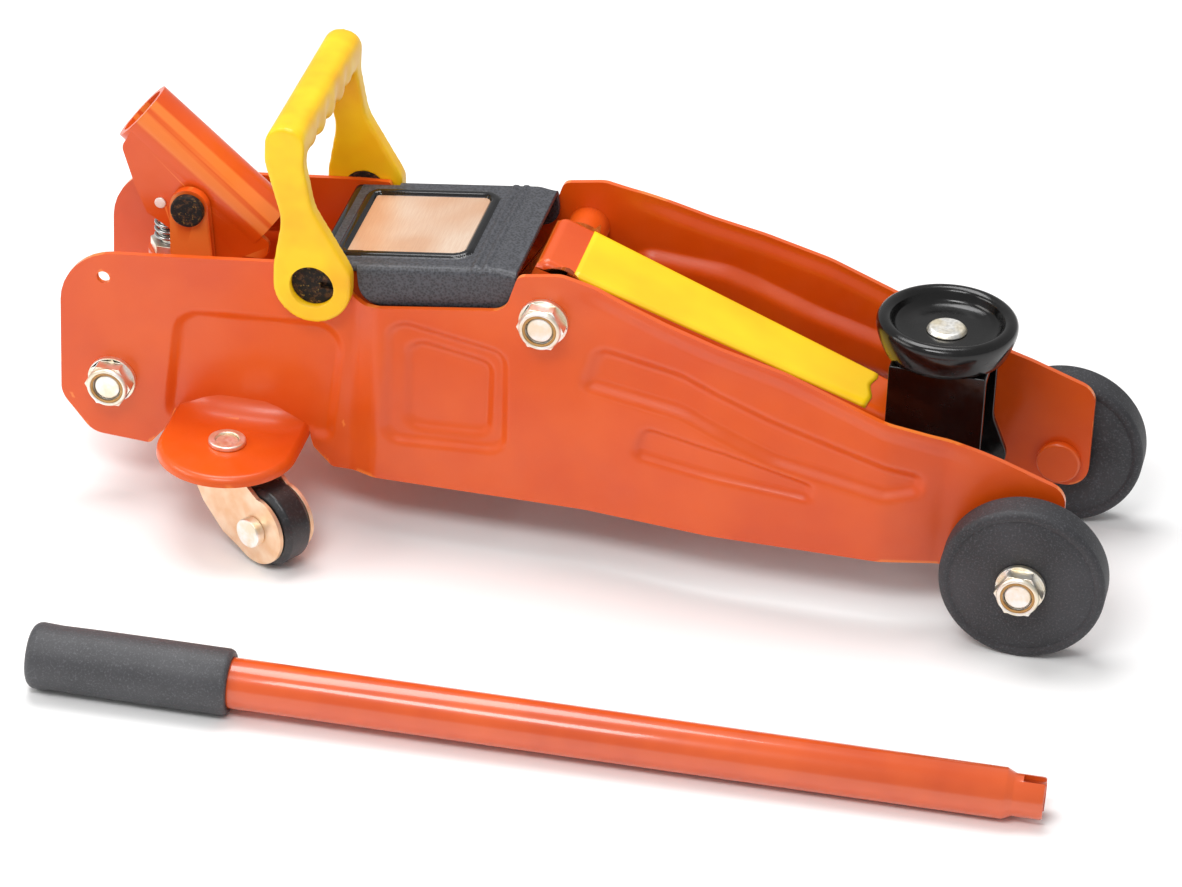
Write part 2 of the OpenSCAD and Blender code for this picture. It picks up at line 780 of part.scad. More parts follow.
module saddle_bolt() {
  color("white") translate([arm_b[0] + 2.4, 0, 0]) {
    translate([0, 0, bracket_top - 11]) cylinder(r = 6, h = saddle_z - cup_depth - bracket_top + 11.2);
    translate([0, 0, saddle_z - cup_depth]) cylinder(r1 = 8.8, r2 = 7.5, h = 2);
  }
}

module saddle_nut() {
  color("silver") translate([arm_b[0] + 2.4, 0, bracket_top - 10.3]) difference() {
    cylinder(r = 10.5, h = 6, $fn = 6);
    translate([0, 0, -1]) cylinder(r = 6 + run, h = 8);
  }
}

module link() {
  slab(link_in, link_in + link_t) difference() {
    strap(arm_a + link_off, 9, arm_b + link_off, 9);
    translate(arm_a + link_off) circle(link_pin_r + run);
    translate(arm_b + link_off) circle(link_pin_r + run);
  }
}

module left_link() color("dimgray") link();

module right_link() color("dimgray") mirror([0, 1, 0]) link();

// ---- Ram -----------------------------------------------------------------------------------

x_piston = x_cap_rear - ram_stroke - 9.3;

module ram_rod() color("gainsboro") round_x([0, ram_z], ram_d / 2, x_piston + 8, crank[0] - yoke_half);

module ram_piston() {
  color("silver") difference() {
    round_x([0, ram_z], bore_r - 0.1, x_piston, x_piston + 8);
    difference() {
      round_x([0, ram_z], bore_r + 1, x_piston + 2.5, x_piston + 5.5);
      round_x([0, ram_z], bore_r - 2, x_piston + 2, x_piston + 6);
    }
  }
}

module piston_seal() {
  color("black") difference() {
    round_x([0, ram_z], bore_r - 0.1, x_piston + 2.5, x_piston + 5.5);
    round_x([0, ram_z], bore_r - 2, x_piston + 2, x_piston + 6);
  }
}

// The crank pin runs in the yoke's upright slot, which leaves room for its arc.
module ram_yoke() {
  half_w = arm_half - arm_t - 1.5;
  slot_r = crank_pin_r + 1.3;
  rise = crank_r * (1 - cos(lift_deg / 2)) / 2;
  outline = rounded([
    [crank[0] - yoke_half, ram_z - 15.5, 5], [crank[0] + yoke_half, ram_z - 15.5, 7],
    [crank[0] + yoke_half, ram_z + 15.5, 7], [crank[0] - yoke_half, ram_z + 15.5, 5],
  ]);
  color("gray") difference() {
    slab(-half_w, half_w) polygon(outline);
    slab(-half_w - 1, half_w + 1) strap([crank[0], ram_z - rise], slot_r, [crank[0], ram_z + rise], slot_r);
  }
}

// ---- Handle socket and pump ----------------------------------------------------------------

module on_socket() translate([sock_mouth[0], 0, sock_mouth[1]]) rotate([0, 90 + socket_slope, 0]) children();

module handle_socket() {
  back = sock_mouth + 0.5 * sock_f + 2 * sock_n;
  front = sock_mouth + (sock_l - 0.5) * sock_f + 2 * sock_n;
  cheek = rounded([
    [back[0], back[1], 0], [front[0], front[1], 0], [sock_p[0] + 34, sock_p[1] - 14, 3],
    [sock_p[0] + 33, sock_p[1] - 22, 4], [sock_p[0] + 22, sock_p[1] - 22, 2],
    [sock_p[0] + 21, sock_p[1] - 25, 2], [sock_p[0] - 2, sock_p[1] - 25, 2],
    [sock_p[0] - 8, sock_p[1] - 15, 3], [sock_p[0] - 20, sock_p[1] - 7.5, 4],
    [sock_p[0] - 25, sock_p[1] + 4, 4], [sock_p[0] - 31, sock_p[1] + 22.5, 5],
  ]);
  color("orangered") difference() {
    union() {
      on_socket() cylinder(r = sock_out, h = sock_l);
      both() slab(sock_in + 0.2, sock_out - 0.4) polygon(cheek);
    }
    on_socket() translate([0, 0, -1]) cylinder(r = sock_in, h = sock_l + 2);
    on_socket() translate([0, -2.5, 8]) cube([sock_out + 2, 5, 5]);
    both() round_y(sock_p, 4.5 + run, sock_in - 1, sock_out + 1);
    round_y(roller, 2.5 + run, -sock_out - 1, sock_out + 1);
  }
}

module socket_roller() color("silver") tube_y(roller, roller_r, 2.5 + run, -sock_in + 0.3, sock_in - 0.3);

module roller_pin() color("gray") round_y(roller, 2.5, -sock_out - 0.4, sock_out + 0.4);

module pump_plunger() {
  color("gainsboro") translate([plunger_x, 0, 0]) {
    translate([0, 0, 74]) cylinder(r = plunger_r, h = plunger_top - 74 - 2);
    translate([0, 0, plunger_top - 3]) cylinder(r = 7, h = 3);
  }
}

module plunger_spring() {
  color("silver") translate([plunger_x, 0, gland_top + 0.1]) difference() {
    cylinder(r = 7.6, h = plunger_top - 3.1 - gland_top - 0.1);
    translate([0, 0, -1]) cylinder(r = 5.9, h = 40);
  }
}

// ---- Pump bar ------------------------------------------------------------------------------

// Drawn along +X from the grip's end, then tilted so grip and tip both touch the floor.
module on_floor_bar() {
  translate([bar_end[0], bar_end[1], grip_d / 2 * cos(bar_tilt)]) rotate([0, bar_tilt, bar_yaw]) children();
}

module bar_tube() {
  color("orangered") on_floor_bar() difference() {
    union() {
      round_x([0, 0], bar_d / 2 - 0.25, 4, grip_l + eps);
      round_x([0, 0], bar_d / 2, grip_l, bar_l - tip_l);
      round_x([0, 0], tip_r, bar_l - tip_l - eps, bar_l);
    }
    round_x([0, 0], tip_r - 2, 3, bar_l + 1);
    translate([bar_l - 9, -2.5, -20]) cube([10, 5, 40]);
  }
}

module bar_grip() {
  color("dimgray") on_floor_bar() difference() {
    rotate([0, 90, 0]) rotate_extrude() polygon([
      [0, 0], [grip_d / 2 - 2.5, 0], [grip_d / 2, 2.5], [grip_d / 2, grip_l - 2],
      [grip_d / 2 - 1.5, grip_l], [0, grip_l],
    ]);
    round_x([0, 0], bar_d / 2 - 0.25 + run, 4, grip_l + 1);
  }
}

placed() right_side_plate();
placed() left_side_plate();
placed() base_plate();
placed() front_axle();
placed() flange_nuts();
placed() shaft_spacers();
placed() front_axle_bosses();
placed() lift_pivot_shaft();
placed() rear_tie_rod();
placed() rear_tie_tube();
placed() link_anchor_pins();
placed() pump_block();
placed() plunger_gland();
placed() reservoir_tube();
placed() pressure_cylinder();
placed() cylinder_cap();
placed() rod_seal();
placed() filler_plug();
placed() socket_pivot_pins();
placed() block_screws();
placed() top_cover();
placed() cover_nameplate();
placed() carry_handle_bolts();
placed() swivel_bolts();
placed() swivel_nuts();
placed() right_front_wheel();
placed() left_front_wheel();
placed() right_caster_fork();
placed() left_caster_fork();
placed() right_caster_race();
placed() left_caster_race();
placed() right_caster_axle();
placed() left_caster_axle();
placed() right_caster_wheel();
placed() left_caster_wheel();
placed() lift_arm();
placed() arm_label();
placed() crank_pin();
placed() saddle_pin();
placed() saddle_bracket();
placed() link_pins();
placed() saddle();
placed() saddle_bolt();
placed() saddle_nut();
placed() right_link();
placed() left_link();
placed() ram_rod();
placed() ram_piston();
placed() piston_seal();
placed() ram_yoke();
placed() handle_socket();
placed() socket_roller();
placed() roller_pin();
placed() pump_plunger();
placed() plunger_spring();
placed() release_screw();
placed() carry_handle();
placed() bar_tube();
placed() bar_grip();
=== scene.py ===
import json
import math

import bmesh
import bpy
import numpy as np
from mathutils import Matrix, Vector

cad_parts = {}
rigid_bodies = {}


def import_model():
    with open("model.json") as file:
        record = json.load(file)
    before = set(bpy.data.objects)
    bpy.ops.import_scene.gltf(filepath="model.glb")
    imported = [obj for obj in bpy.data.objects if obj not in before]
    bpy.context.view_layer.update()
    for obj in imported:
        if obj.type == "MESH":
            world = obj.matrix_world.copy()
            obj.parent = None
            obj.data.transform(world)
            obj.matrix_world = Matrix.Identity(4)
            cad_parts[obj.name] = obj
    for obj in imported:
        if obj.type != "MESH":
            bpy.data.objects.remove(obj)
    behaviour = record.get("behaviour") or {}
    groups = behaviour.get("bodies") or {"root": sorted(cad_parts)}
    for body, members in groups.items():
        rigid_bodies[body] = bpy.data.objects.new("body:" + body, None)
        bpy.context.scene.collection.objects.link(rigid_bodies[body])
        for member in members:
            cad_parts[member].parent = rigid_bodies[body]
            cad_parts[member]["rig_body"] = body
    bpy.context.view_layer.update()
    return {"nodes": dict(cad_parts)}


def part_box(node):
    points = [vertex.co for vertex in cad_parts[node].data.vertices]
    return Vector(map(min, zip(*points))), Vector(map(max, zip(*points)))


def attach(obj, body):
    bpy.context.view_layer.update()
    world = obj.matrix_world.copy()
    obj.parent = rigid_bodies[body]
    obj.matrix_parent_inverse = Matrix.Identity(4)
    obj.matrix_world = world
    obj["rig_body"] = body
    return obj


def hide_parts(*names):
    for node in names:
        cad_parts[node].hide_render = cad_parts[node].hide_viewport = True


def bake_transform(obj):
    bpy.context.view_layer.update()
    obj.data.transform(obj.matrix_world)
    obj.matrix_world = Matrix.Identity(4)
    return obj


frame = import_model()

# --- Side plates ---
# Two mirrored pressings of 2.5 mm mild steel: cut out, bent inwards behind the cover, bulged at the
# front, stiffened with flutes, and folded out at the bottom into a half-round shelf over each caster.
# Powder coated orange and held apart by the axle, the lift pivot and the tie rod.
MM = 0.001
axle_low, axle_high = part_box("front_axle")
AXLE = (axle_low + axle_high) / 2


def place(x, y, z):
    """A point given in millimetres from the front axle's centre line, height over the floor."""
    return Vector((AXLE.x + x * MM, AXLE.y + y * MM, z * MM))


def span(node):
    """Low and high corner of a piece of the frame, in millimetres from the front axle."""
    low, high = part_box(node)
    shift = Vector((AXLE.x, AXLE.y, 0))
    return (low - shift) / MM, (high - shift) / MM


def linear(colour):
    """Linear RGBA from an sRGB hex colour."""
    parts = [int(colour[i:i + 2], 16) / 255 for i in (1, 3, 5)]
    return [c / 12.92 if c <= 0.04045 else ((c + 0.055) / 1.055) ** 2.4 for c in parts] + [1]


def add(tree, kind, give, ports, **settings):
    """Adds one shader node and gives one of its outputs. A port takes a link, a value or an sRGB colour."""
    node = tree.nodes.new("ShaderNode" + kind)
    for key, value in settings.items():
        setattr(node, key, value)
    for port, value in ports.items():
        if isinstance(value, bpy.types.NodeSocket):
            tree.links.new(value, node.inputs[port])
        else:
            node.inputs[port].default_value = linear(value) if isinstance(value, str) else value
    return node.outputs[give]


def new_material(name):
    """A new material, its node tree without a shader, and its object-space coordinates."""
    material = bpy.data.materials.new(name)
    material.use_nodes = True
    tree = material.node_tree
    tree.nodes.remove(tree.nodes["Principled BSDF"])
    return material, tree, add(tree, "TexCoord", "Object", {})


def surface(material, ports):
    """Gives the material its shader, each port with a constant or a link."""
    tree = material.node_tree
    shader = add(tree, "BsdfPrincipled", "BSDF", ports)
    tree.links.new(shader, tree.nodes["Material Output"].inputs["Surface"])
    return material


def powder_coat(name, body, deep, edge):
    """Polyester powder coat, baked on: satin, with orange peel about 1.5 mm across, a painted highlight
    along pressed edges in the lighter edge colour, and faint handling marks."""
    material, tree, coords = new_material(name)
    patches = add(tree, "TexNoise", "Fac", {"Vector": coords, "Scale": 1 / (45 * MM), "Detail": 3})
    cloud = add(tree, "MapRange", "Result", {"Value": patches, "From Min": 0.35, "From Max": 0.65})
    colour = add(tree, "Mix", 2, {0: cloud, 6: body, 7: deep}, data_type="RGBA")
    # Painted highlight: convex pressed edges, found by pointiness, are lightened towards the edge colour.
    bend = add(tree, "NewGeometry", "Pointiness", {})
    ridge = add(tree, "MapRange", "Result", {"Value": bend, "From Min": 0.53, "From Max": 0.62})
    colour = add(tree, "Mix", 2, {0: ridge, 6: colour, 7: edge}, data_type="RGBA")
    specks = add(tree, "TexNoise", "Fac", {"Vector": coords, "Scale": 1 / (0.7 * MM)})
    dust = add(tree, "MapRange", "Result", {
        "Value": specks, "From Min": 0.66, "From Max": 0.8, "To Max": 0.22})
    colour = add(tree, "Mix", 2, {0: dust, 6: colour, 7: edge}, data_type="RGBA")
    handling = add(tree, "TexNoise", "Fac", {"Vector": coords, "Scale": 1 / (9 * MM), "Detail": 4})
    dulled = add(tree, "MapRange", "Result", {
        "Value": handling, "From Min": 0.3, "From Max": 0.7, "To Min": 0.3, "To Max": 0.44})
    orange_peel = add(tree, "TexNoise", "Fac", {"Vector": coords, "Scale": 1 / (1.5 * MM), "Detail": 1})
    peel = add(tree, "Bump", "Normal", {"Height": orange_peel, "Distance": 0.05 * MM, "Strength": 0.35})
    return surface(material, {
        "Base Color": colour, "IOR": 1.5, "Coat Weight": 0.25, "Coat Roughness": 0.18, "Roughness": dulled,
        "Normal": peel})


# The last colour is a painted highlight for pressed edges; the pale dust specks use it too.
ORANGE = powder_coat("orange_powder_coat", "#E25808", "#D84C04", "#EE7C30")


def corner_points(b, a, c, radius):
    """The arc that rounds corner b between its neighbours a and c."""
    u, v = (a - b) / np.linalg.norm(a - b), (c - b) / np.linalg.norm(c - b)
    if radius == 0 or np.linalg.norm(u + v) < 0.02:
        return [b]
    half = math.acos(float(np.clip(u @ v, -1, 1))) / 2
    centre = b + (u + v) / np.linalg.norm(u + v) * radius / math.sin(half)
    p, q = (b + w * radius / math.tan(half) - centre for w in (u, v))
    start = math.atan2(p[1], p[0])
    turn = (math.atan2(q[1], q[0]) - start + 3 * math.pi) % (2 * math.pi) - math.pi
    steps = start + turn * np.linspace(0, 1, 9)
    return [centre + radius * np.array([math.cos(t), math.sin(t)]) for t in steps]


def rounded(corners):
    """A closed outline from corners given as (x, z, radius)."""
    points = [np.array(k[:2], float) for k in corners]
    count = len(points)
    return np.array([
        p for i in range(count)
        for p in corner_points(points[i], points[i - 1], points[(i + 1) % count], corners[i][2])
    ])


def depth_inside(outline, points):
    """How far inside the closed outline each point lies; negative outside."""
    nearest = np.full(len(points), 1e9)
    inside = np.zeros(len(points), bool)
    for a, b in zip(outline, np.roll(outline, -1, 0)):
        edge = b - a
        along = np.clip(((points - a) @ edge) / max(edge @ edge, 1e-9), 0, 1)
        nearest = np.minimum(nearest, np.linalg.norm(points - a - along[:, None] * edge, axis=1))
        crosses = (a[1] > points[:, 1]) != (b[1] > points[:, 1])
        rise = edge[1] if abs(edge[1]) > 1e-9 else 1e-9
        inside ^= crosses & (points[:, 0] < a[0] + (points[:, 1] - a[1]) * edge[0] / rise)
    return np.where(inside, nearest, -nearest)


def ease(value):
    value = np.clip(value, 0, 1)
    return value * value * (3 - 2 * value)


def reach(outline, x):
    """Lowest and highest point of the outline at x."""
    heights = []
    for a, b in zip(outline, np.roll(outline, -1, 0)):
        if (a[0] > x) != (b[0] > x):
            heights.append(a[1] + (x - a[0]) / (b[0] - a[0]) * (b[1] - a[1]))
    return min(heights), max(heights)


def piece(name, points, faces, material):
    """A mesh object from points in millimetres from the front axle."""
    mesh = bpy.data.meshes.new(name)
    mesh.from_pydata([place(*p) for p in points], [], faces)
    mesh.validate()
    build = bmesh.new()
    build.from_mesh(mesh)
    bmesh.ops.remove_doubles(build, verts=build.verts, dist=0.00001)
    bmesh.ops.recalc_face_normals(build, faces=build.faces)
    for face in build.faces:
        face.smooth = True
    build.to_mesh(mesh)
    build.free()
    mesh.materials.append(material)
    thing = bpy.data.objects.new(name, mesh)
    bpy.context.scene.collection.objects.link(thing)
    return thing


def grid_faces(rows, columns, start=0):
    return [
        (start + i * columns + j, start + i * columns + j + 1,
         start + (i + 1) * columns + j + 1, start + (i + 1) * columns + j)
        for i in range(rows - 1) for j in range(columns - 1)
    ]


def modify(thing, kind, **settings):
    modifier = thing.modifiers.new(kind.title(), kind)
    for key, value in settings.items():
        setattr(modifier, key, value)
    return modifier


def round_edges(thing, width_mm, segments=3, angle=35):
    modify(thing, "BEVEL", width=width_mm * MM, segments=segments, limit_method="ANGLE",
           angle_limit=math.radians(angle), use_clamp_overlap=True)
    modify(thing, "WEIGHTED_NORMAL", keep_sharp=False, weight=100)


plate_low, plate_high = span("left_side_plate")
pivot_low, pivot_high = span("lift_pivot_shaft")
tie_low, tie_high = span("rear_tie_rod")
eye_low, eye_high = span("carry_handle_bolts")
boss_high = span("front_axle_bosses")[1]
cover_high = span("top_cover")[1]
swivel_low, swivel_high = span("swivel_nuts")
REAR = plate_low.x
SHEET = 2.5
Y_FRONT = boss_high.y + SHEET
Y_REAR = Y_FRONT - 4
PIVOT = ((pivot_low.x + pivot_high.x) / 2, (pivot_low.z + pivot_high.z) / 2)
TIE = ((tie_low.x + tie_high.x) / 2, (tie_low.z + tie_high.z) / 2)
EYE = ((eye_low.x + eye_high.x) / 2, (eye_low.z + eye_high.z) / 2)
CASTER = ((swivel_low.x + swivel_high.x) / 2, swivel_high.y - 8)
SHELF_R = plate_high.y - CASTER[1]
SHELF_Z = swivel_low.z
BEND = REAR + 129.5
COVER_A = (REAR + 109, 123.6)
COVER_B = (PIVOT[0] - 14, 134.9)
COVER_TILT = math.atan2(COVER_B[1] - COVER_A[1], COVER_B[0] - COVER_A[0])
SKIRT = 18.5


def notch_z(x):
    return COVER_A[1] + (x - COVER_A[0]) * math.tan(COVER_TILT) - SKIRT + 1.5


NOTCH = EYE[0] + 12
SWING = 40.4
PLATE = rounded([
    (REAR, 113, 26), (COVER_A[0], 124.5, 0), (NOTCH, 125.5, 1.5), (NOTCH + 4, notch_z(NOTCH), 8),
    (COVER_B[0] - 3, notch_z(COVER_B[0]), 8), (COVER_B[0] + 2, 135, 4), (PIVOT[0] + 6, 138, 12),
    (PIVOT[0] + 22, 134.5, 12), (PIVOT[0] + 52, 125, 40), (-106, 111.5, 60), (-66, 96, 60),
    (-15, 81, 30), (13, 71, 9), (13, 23, 10), (-3, 23, 5), (-20, 27.5, 8),
    (CASTER[0] + SWING, 27.5, 3), (CASTER[0] + SHELF_R + 2, 36, 2), (CASTER[0] + SHELF_R, SHELF_Z - 2.5, 0),
    (CASTER[0] - SHELF_R, SHELF_Z - 2.5, 0), (CASTER[0] - SHELF_R - 2, 36, 2),
    (CASTER[0] - SWING, 25.5, 3), (REAR + 14, 27, 10), (REAR, 44, 12),
])
SQUARE_OUTER = rounded([
    (BEND + 13, 46, 8), (PIVOT[0] - 14, 49, 8), (PIVOT[0] - 15, 98, 9), (BEND + 14, 107, 9),
])
SQUARE_INNER = rounded([
    (BEND + 22, 53, 7), (PIVOT[0] - 21, 55, 7), (PIVOT[0] - 21, 91, 7), (BEND + 22, 98, 8),
])
FLUTE_LONG = rounded([
    (PIVOT[0] + 16, 86, 4), (-150, 82, 30), (-110, 66, 30), (-62, 57, 4), (-47, 60, 5),
    (-46, 70, 5), (-62, 74, 10), (-110, 88, 40), (-150, 103, 30), (PIVOT[0] + 22, 108, 8),
])
FLUTE_SHORT = rounded([
    (PIVOT[0] + 40, 58, 4), (-92, 51, 3), (-92, 60, 3), (-130, 69, 20), (PIVOT[0] + 44, 74, 6),
])
REAR_PANEL = rounded([
    (CASTER[0] - 34, SHELF_Z - 4, 4), (CASTER[0] + 40, SHELF_Z - 4, 4), (CASTER[0] + 45, 98, 12),
    (CASTER[0] - 29, 93, 12),
])


def plate_face(x, z, top):
    """Distance of the plate's outer face from the centre plane."""
    knots = [REAR, BEND, BEND + 10, PIVOT[0] + 20, PIVOT[0] + 75, -62, -38, 20]
    faces = [Y_REAR, Y_REAR, Y_FRONT, Y_FRONT, Y_FRONT + 6, Y_FRONT + 6, Y_FRONT, Y_FRONT]
    y = sum(np.interp(x + shift, knots, faces) for shift in (-2, -1, 0, 1, 2)) / 5
    spots = np.stack([x, z], 1)
    for outline, depth, wall in (
        (SQUARE_OUTER, 2.4, 4.5), (SQUARE_INNER, 2.2, 4.5), (FLUTE_LONG, 3.6, 7),
        (FLUTE_SHORT, 2.4, 4), (REAR_PANEL, 2.2, 5),
    ):
        y = y - depth * ease(depth_inside(outline, spots) / wall + 0.25)
    lip = ease((x - PIVOT[0] - 8) / 30) * ease((-22 - x) / 25) * ease((z - top + 9) / 7)
    return y + 1.8 * lip


# The fillet's radius, how far behind the plate's face it starts, and the rim's radius.
FOOT, SHELF_BACK, RIM = 14, 3.4, 3


def shelf_surface():
    """Points and faces of the caster shelf: fillet to the plate, flat ledge, turned-down rim."""
    rings = [0, 0.3, 1, 2, 3, 5, 9, 14, 20, 30]
    turns = np.linspace(0, math.pi, 41)
    points = []
    for inset in rings:
        r = SHELF_R - inset
        walls = Y_REAR - SHELF_BACK + (CASTER[1] - Y_REAR + SHELF_BACK) * np.linspace(0, 1, 31)[:-1] ** 1.6
        path = [(CASTER[0] + r, y) for y in walls]
        path += [(CASTER[0] + r * math.cos(t), CASTER[1] + r * math.sin(t)) for t in turns]
        path += [(CASTER[0] - r, y) for y in walls[::-1]]
        drop = RIM - math.sqrt(max(RIM ** 2 - (RIM - min(inset, RIM)) ** 2, 0))
        for x, y in path:
            foot = min(max(y - Y_REAR + SHELF_BACK, 0), FOOT)
            rise = FOOT - math.sqrt(FOOT ** 2 - (FOOT - foot) ** 2)
            rise *= float(ease((SHELF_R - abs(x - CASTER[0])) / 24 + 0.1))
            points.append((x, y, SHELF_Z - drop * 1.4 + rise))
    return points, grid_faces(len(rings), len(points) // len(rings))


HOLE, HOLE_R = (REAR + 19, 103.5), 2.8


def side_plate(name, side):
    """One pressing with its shelf: sheet thickness, the small rear hole and broken edges."""
    columns = np.unique(np.round(np.concatenate([
        np.arange(REAR + 0.05, 13, 1.6), [12.95], REAR + 26 * np.linspace(0, 1, 24) ** 2 + 0.05,
        np.arange(NOTCH - 2, NOTCH + 14, 0.6), np.arange(COVER_B[0] - 12, COVER_B[0] + 10, 0.6),
        np.arange(CASTER[0] - SWING - 3, CASTER[0] - SHELF_R + 1, 0.5),
        np.arange(CASTER[0] + SHELF_R - 1, CASTER[0] + SWING + 3, 0.5), np.arange(-4, 13, 0.6),
    ]), 2))
    columns = columns[np.append(True, np.diff(columns) > 0.12)]
    rows = np.linspace(0, 1, 73)
    xs, zs, tops = [], [], []
    for x in columns:
        low, high = reach(PLATE, x)
        xs += [x] * len(rows)
        zs += list(low + (high - low) * rows)
        tops += [high] * len(rows)
    xs, zs = np.array(xs), np.array(zs)
    ys = plate_face(xs, zs, np.array(tops))
    shelf, shelf_faces = shelf_surface()
    points = list(zip(xs, side * ys, zs))
    faces = grid_faces(len(columns), len(rows))
    thing = piece(name, points, faces, ORANGE)
    shelf = [(x, side * y, z) for x, y, z in shelf]
    ledge = piece(name.replace("plate", "shelf"), shelf, shelf_faces, ORANGE)
    for part in (thing, ledge):
        # The drawn surface is the outer or upper face, so the sheet's thickness goes behind it.
        middle = part.data.polygons[len(part.data.polygons) // 2].normal
        outward = Vector((0, side, 0)) if part is thing else Vector((0, 0, 1))
        if middle.dot(outward) < 0:
            part.data.flip_normals()
        modify(part, "SOLIDIFY", thickness=SHEET * MM, offset=-1, use_even_offset=True)
    hole = piece(name + "_hole", *drill(HOLE, HOLE_R, 30, 50, side), ORANGE)
    modify(thing, "BOOLEAN", object=hole, operation="DIFFERENCE", solver="EXACT")
    settle(thing)
    bpy.data.objects.remove(hole)
    for part in (thing, ledge):
        round_edges(part, 0.7, 2, 50)
        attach(part, "frame")
    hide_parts(name.replace("_pressing", ""))


def drill(at, radius, y0, y1, side, sides=32):
    """A round cutter along Y."""
    turns = [2 * math.pi * i / sides for i in range(sides)]
    ring = [(at[0] + radius * math.cos(t), at[1] + radius * math.sin(t)) for t in turns]
    points = [(x, side * y, z) for y in (y0, y1) for x, z in ring]
    faces = [(i, (i + 1) % sides, sides + (i + 1) % sides, sides + i) for i in range(sides)]
    return points, faces + [tuple(range(sides)), tuple(range(2 * sides - 1, sides - 1, -1))]


def settle(thing):
    """Applies the modifiers that the piece has so far."""
    bpy.context.view_layer.update()
    done = thing.evaluated_get(bpy.context.evaluated_depsgraph_get())
    mesh = bpy.data.meshes.new_from_object(done)
    thing.modifiers.clear()
    thing.data = mesh


side_plate("right_side_plate_pressing", -1)
side_plate("left_side_plate_pressing", 1)

# --- Fasteners and shafts ---
# Zinc-plated steel throughout: the axle, lift pivot and tie rod end in threads with flanged lock
# nuts, the casters hang from swivel bolts, and stub pins are riveted through the plates.


def plated_steel(name, body, tint, roughness):
    """Bright zinc plate over turned steel: pale metal, a faint warm bloom from the passivation, and
    fine turning marks that soften the highlights."""
    material, tree, coords = new_material(name)
    patches = add(tree, "TexNoise", "Fac", {"Vector": coords, "Scale": 1 / (6 * MM), "Detail": 3})
    bloom = add(tree, "MapRange", "Result", {"Value": patches, "From Min": 0.4, "From Max": 0.62})
    colour = add(tree, "Mix", 2, {0: bloom, 6: body, 7: tint}, data_type="RGBA")
    turning = add(tree, "TexNoise", "Fac", {"Vector": coords, "Scale": 1 / (1.2 * MM), "Detail": 4})
    spread = add(tree, "MapRange", "Result", {
        "Value": turning, "From Min": 0.3, "From Max": 0.7,
        "To Min": roughness - 0.07, "To Max": roughness + 0.1})
    marks = add(tree, "TexNoise", "Fac", {"Vector": coords, "Scale": 1 / (0.35 * MM)})
    cut = add(tree, "Bump", "Normal", {"Height": marks, "Distance": 0.02 * MM, "Strength": 0.3})
    return surface(material, {"Base Color": colour, "Metallic": 1.0, "Roughness": spread, "Normal": cut})


ZINC = plated_steel("zinc_plate", "#FBF9F4", "#F1E6CE", 0.42)


def soften(node, width_mm, material, segments=3, angle=30):
    """A copy of a piece of the frame with its edges broken, as a tumbled or cast part's are."""
    source = frame["nodes"][node]
    mesh = source.data.copy()
    build = bmesh.new()
    build.from_mesh(mesh)
    bmesh.ops.remove_doubles(build, verts=build.verts, dist=0.00002)
    bmesh.ops.dissolve_limit(build, angle_limit=math.radians(1), verts=build.verts, edges=build.edges)
    for face in build.faces:
        face.smooth = True
    build.to_mesh(mesh)
    build.free()
    mesh.materials.clear()
    mesh.materials.append(material)
    thing = bpy.data.objects.new(node + "_finished", mesh)
    bpy.context.scene.collection.objects.link(thing)
    round_edges(thing, width_mm, segments, angle)
    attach(thing, source["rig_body"])
    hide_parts(node)
    return thing


def dress(names, material):
    """Gives pieces of the frame that stay as they are their real finish."""
    for name in names:
        data = frame["nodes"][name].data
        data.materials.clear()
        data.materials.append(material)


for fastener, edge in (
    ("flange_nuts", 0.9), ("swivel_nuts", 0.6), ("front_axle", 1.2), ("lift_pivot_shaft", 1.2),
    ("rear_tie_rod", 1.2), ("swivel_bolts", 0.6), ("block_screws", 0.5),
    ("crank_pin", 0.5), ("saddle_pin", 0.5), ("link_pins", 0.4), ("link_anchor_pins", 0.5),
    ("saddle_nut", 0.5), ("plunger_gland", 0.4), ("release_screw", 0.4), ("roller_pin", 0.3),
    ("right_caster_axle", 0.7), ("left_caster_axle", 0.7),
):
    soften(fastener, edge, ZINC)
dress(["right_caster_race", "left_caster_race"], ZINC)


def lathe(name, profile, centre, axis, material, steps=72):
    """A turned shape: profile is (radius, distance along the axis) in millimetres."""
    axis = Vector(axis).normalized()
    across = axis.orthogonal().normalized()
    other = axis.cross(across)
    points = []
    for radius, along in profile:
        for i in range(steps):
            turn = 2 * math.pi * i / steps
            spoke = across * math.cos(turn) + other * math.sin(turn)
            points.append(tuple(Vector(centre) + axis * along + spoke * radius))
    faces = [
        (k * steps + i, k * steps + (i + 1) % steps, (k + 1) * steps + (i + 1) % steps, (k + 1) * steps + i)
        for k in range(len(profile) - 1) for i in range(steps)
    ]
    return piece(name, points, faces, material)


def lock_ring_amber():
    """Nylon ring of a lock nut, a translucent amber insert pressed into the collar."""
    material, tree, coords = new_material("lock_ring_nylon")
    depth = add(tree, "TexNoise", "Fac", {"Vector": coords, "Scale": 1 / (2 * MM)})
    tone = add(tree, "Mix", 2, {0: depth, 6: "#C99A58", 7: "#A97636"}, data_type="RGBA")
    return surface(material, {"Base Color": tone, "Roughness": 0.4, "IOR": 1.53})


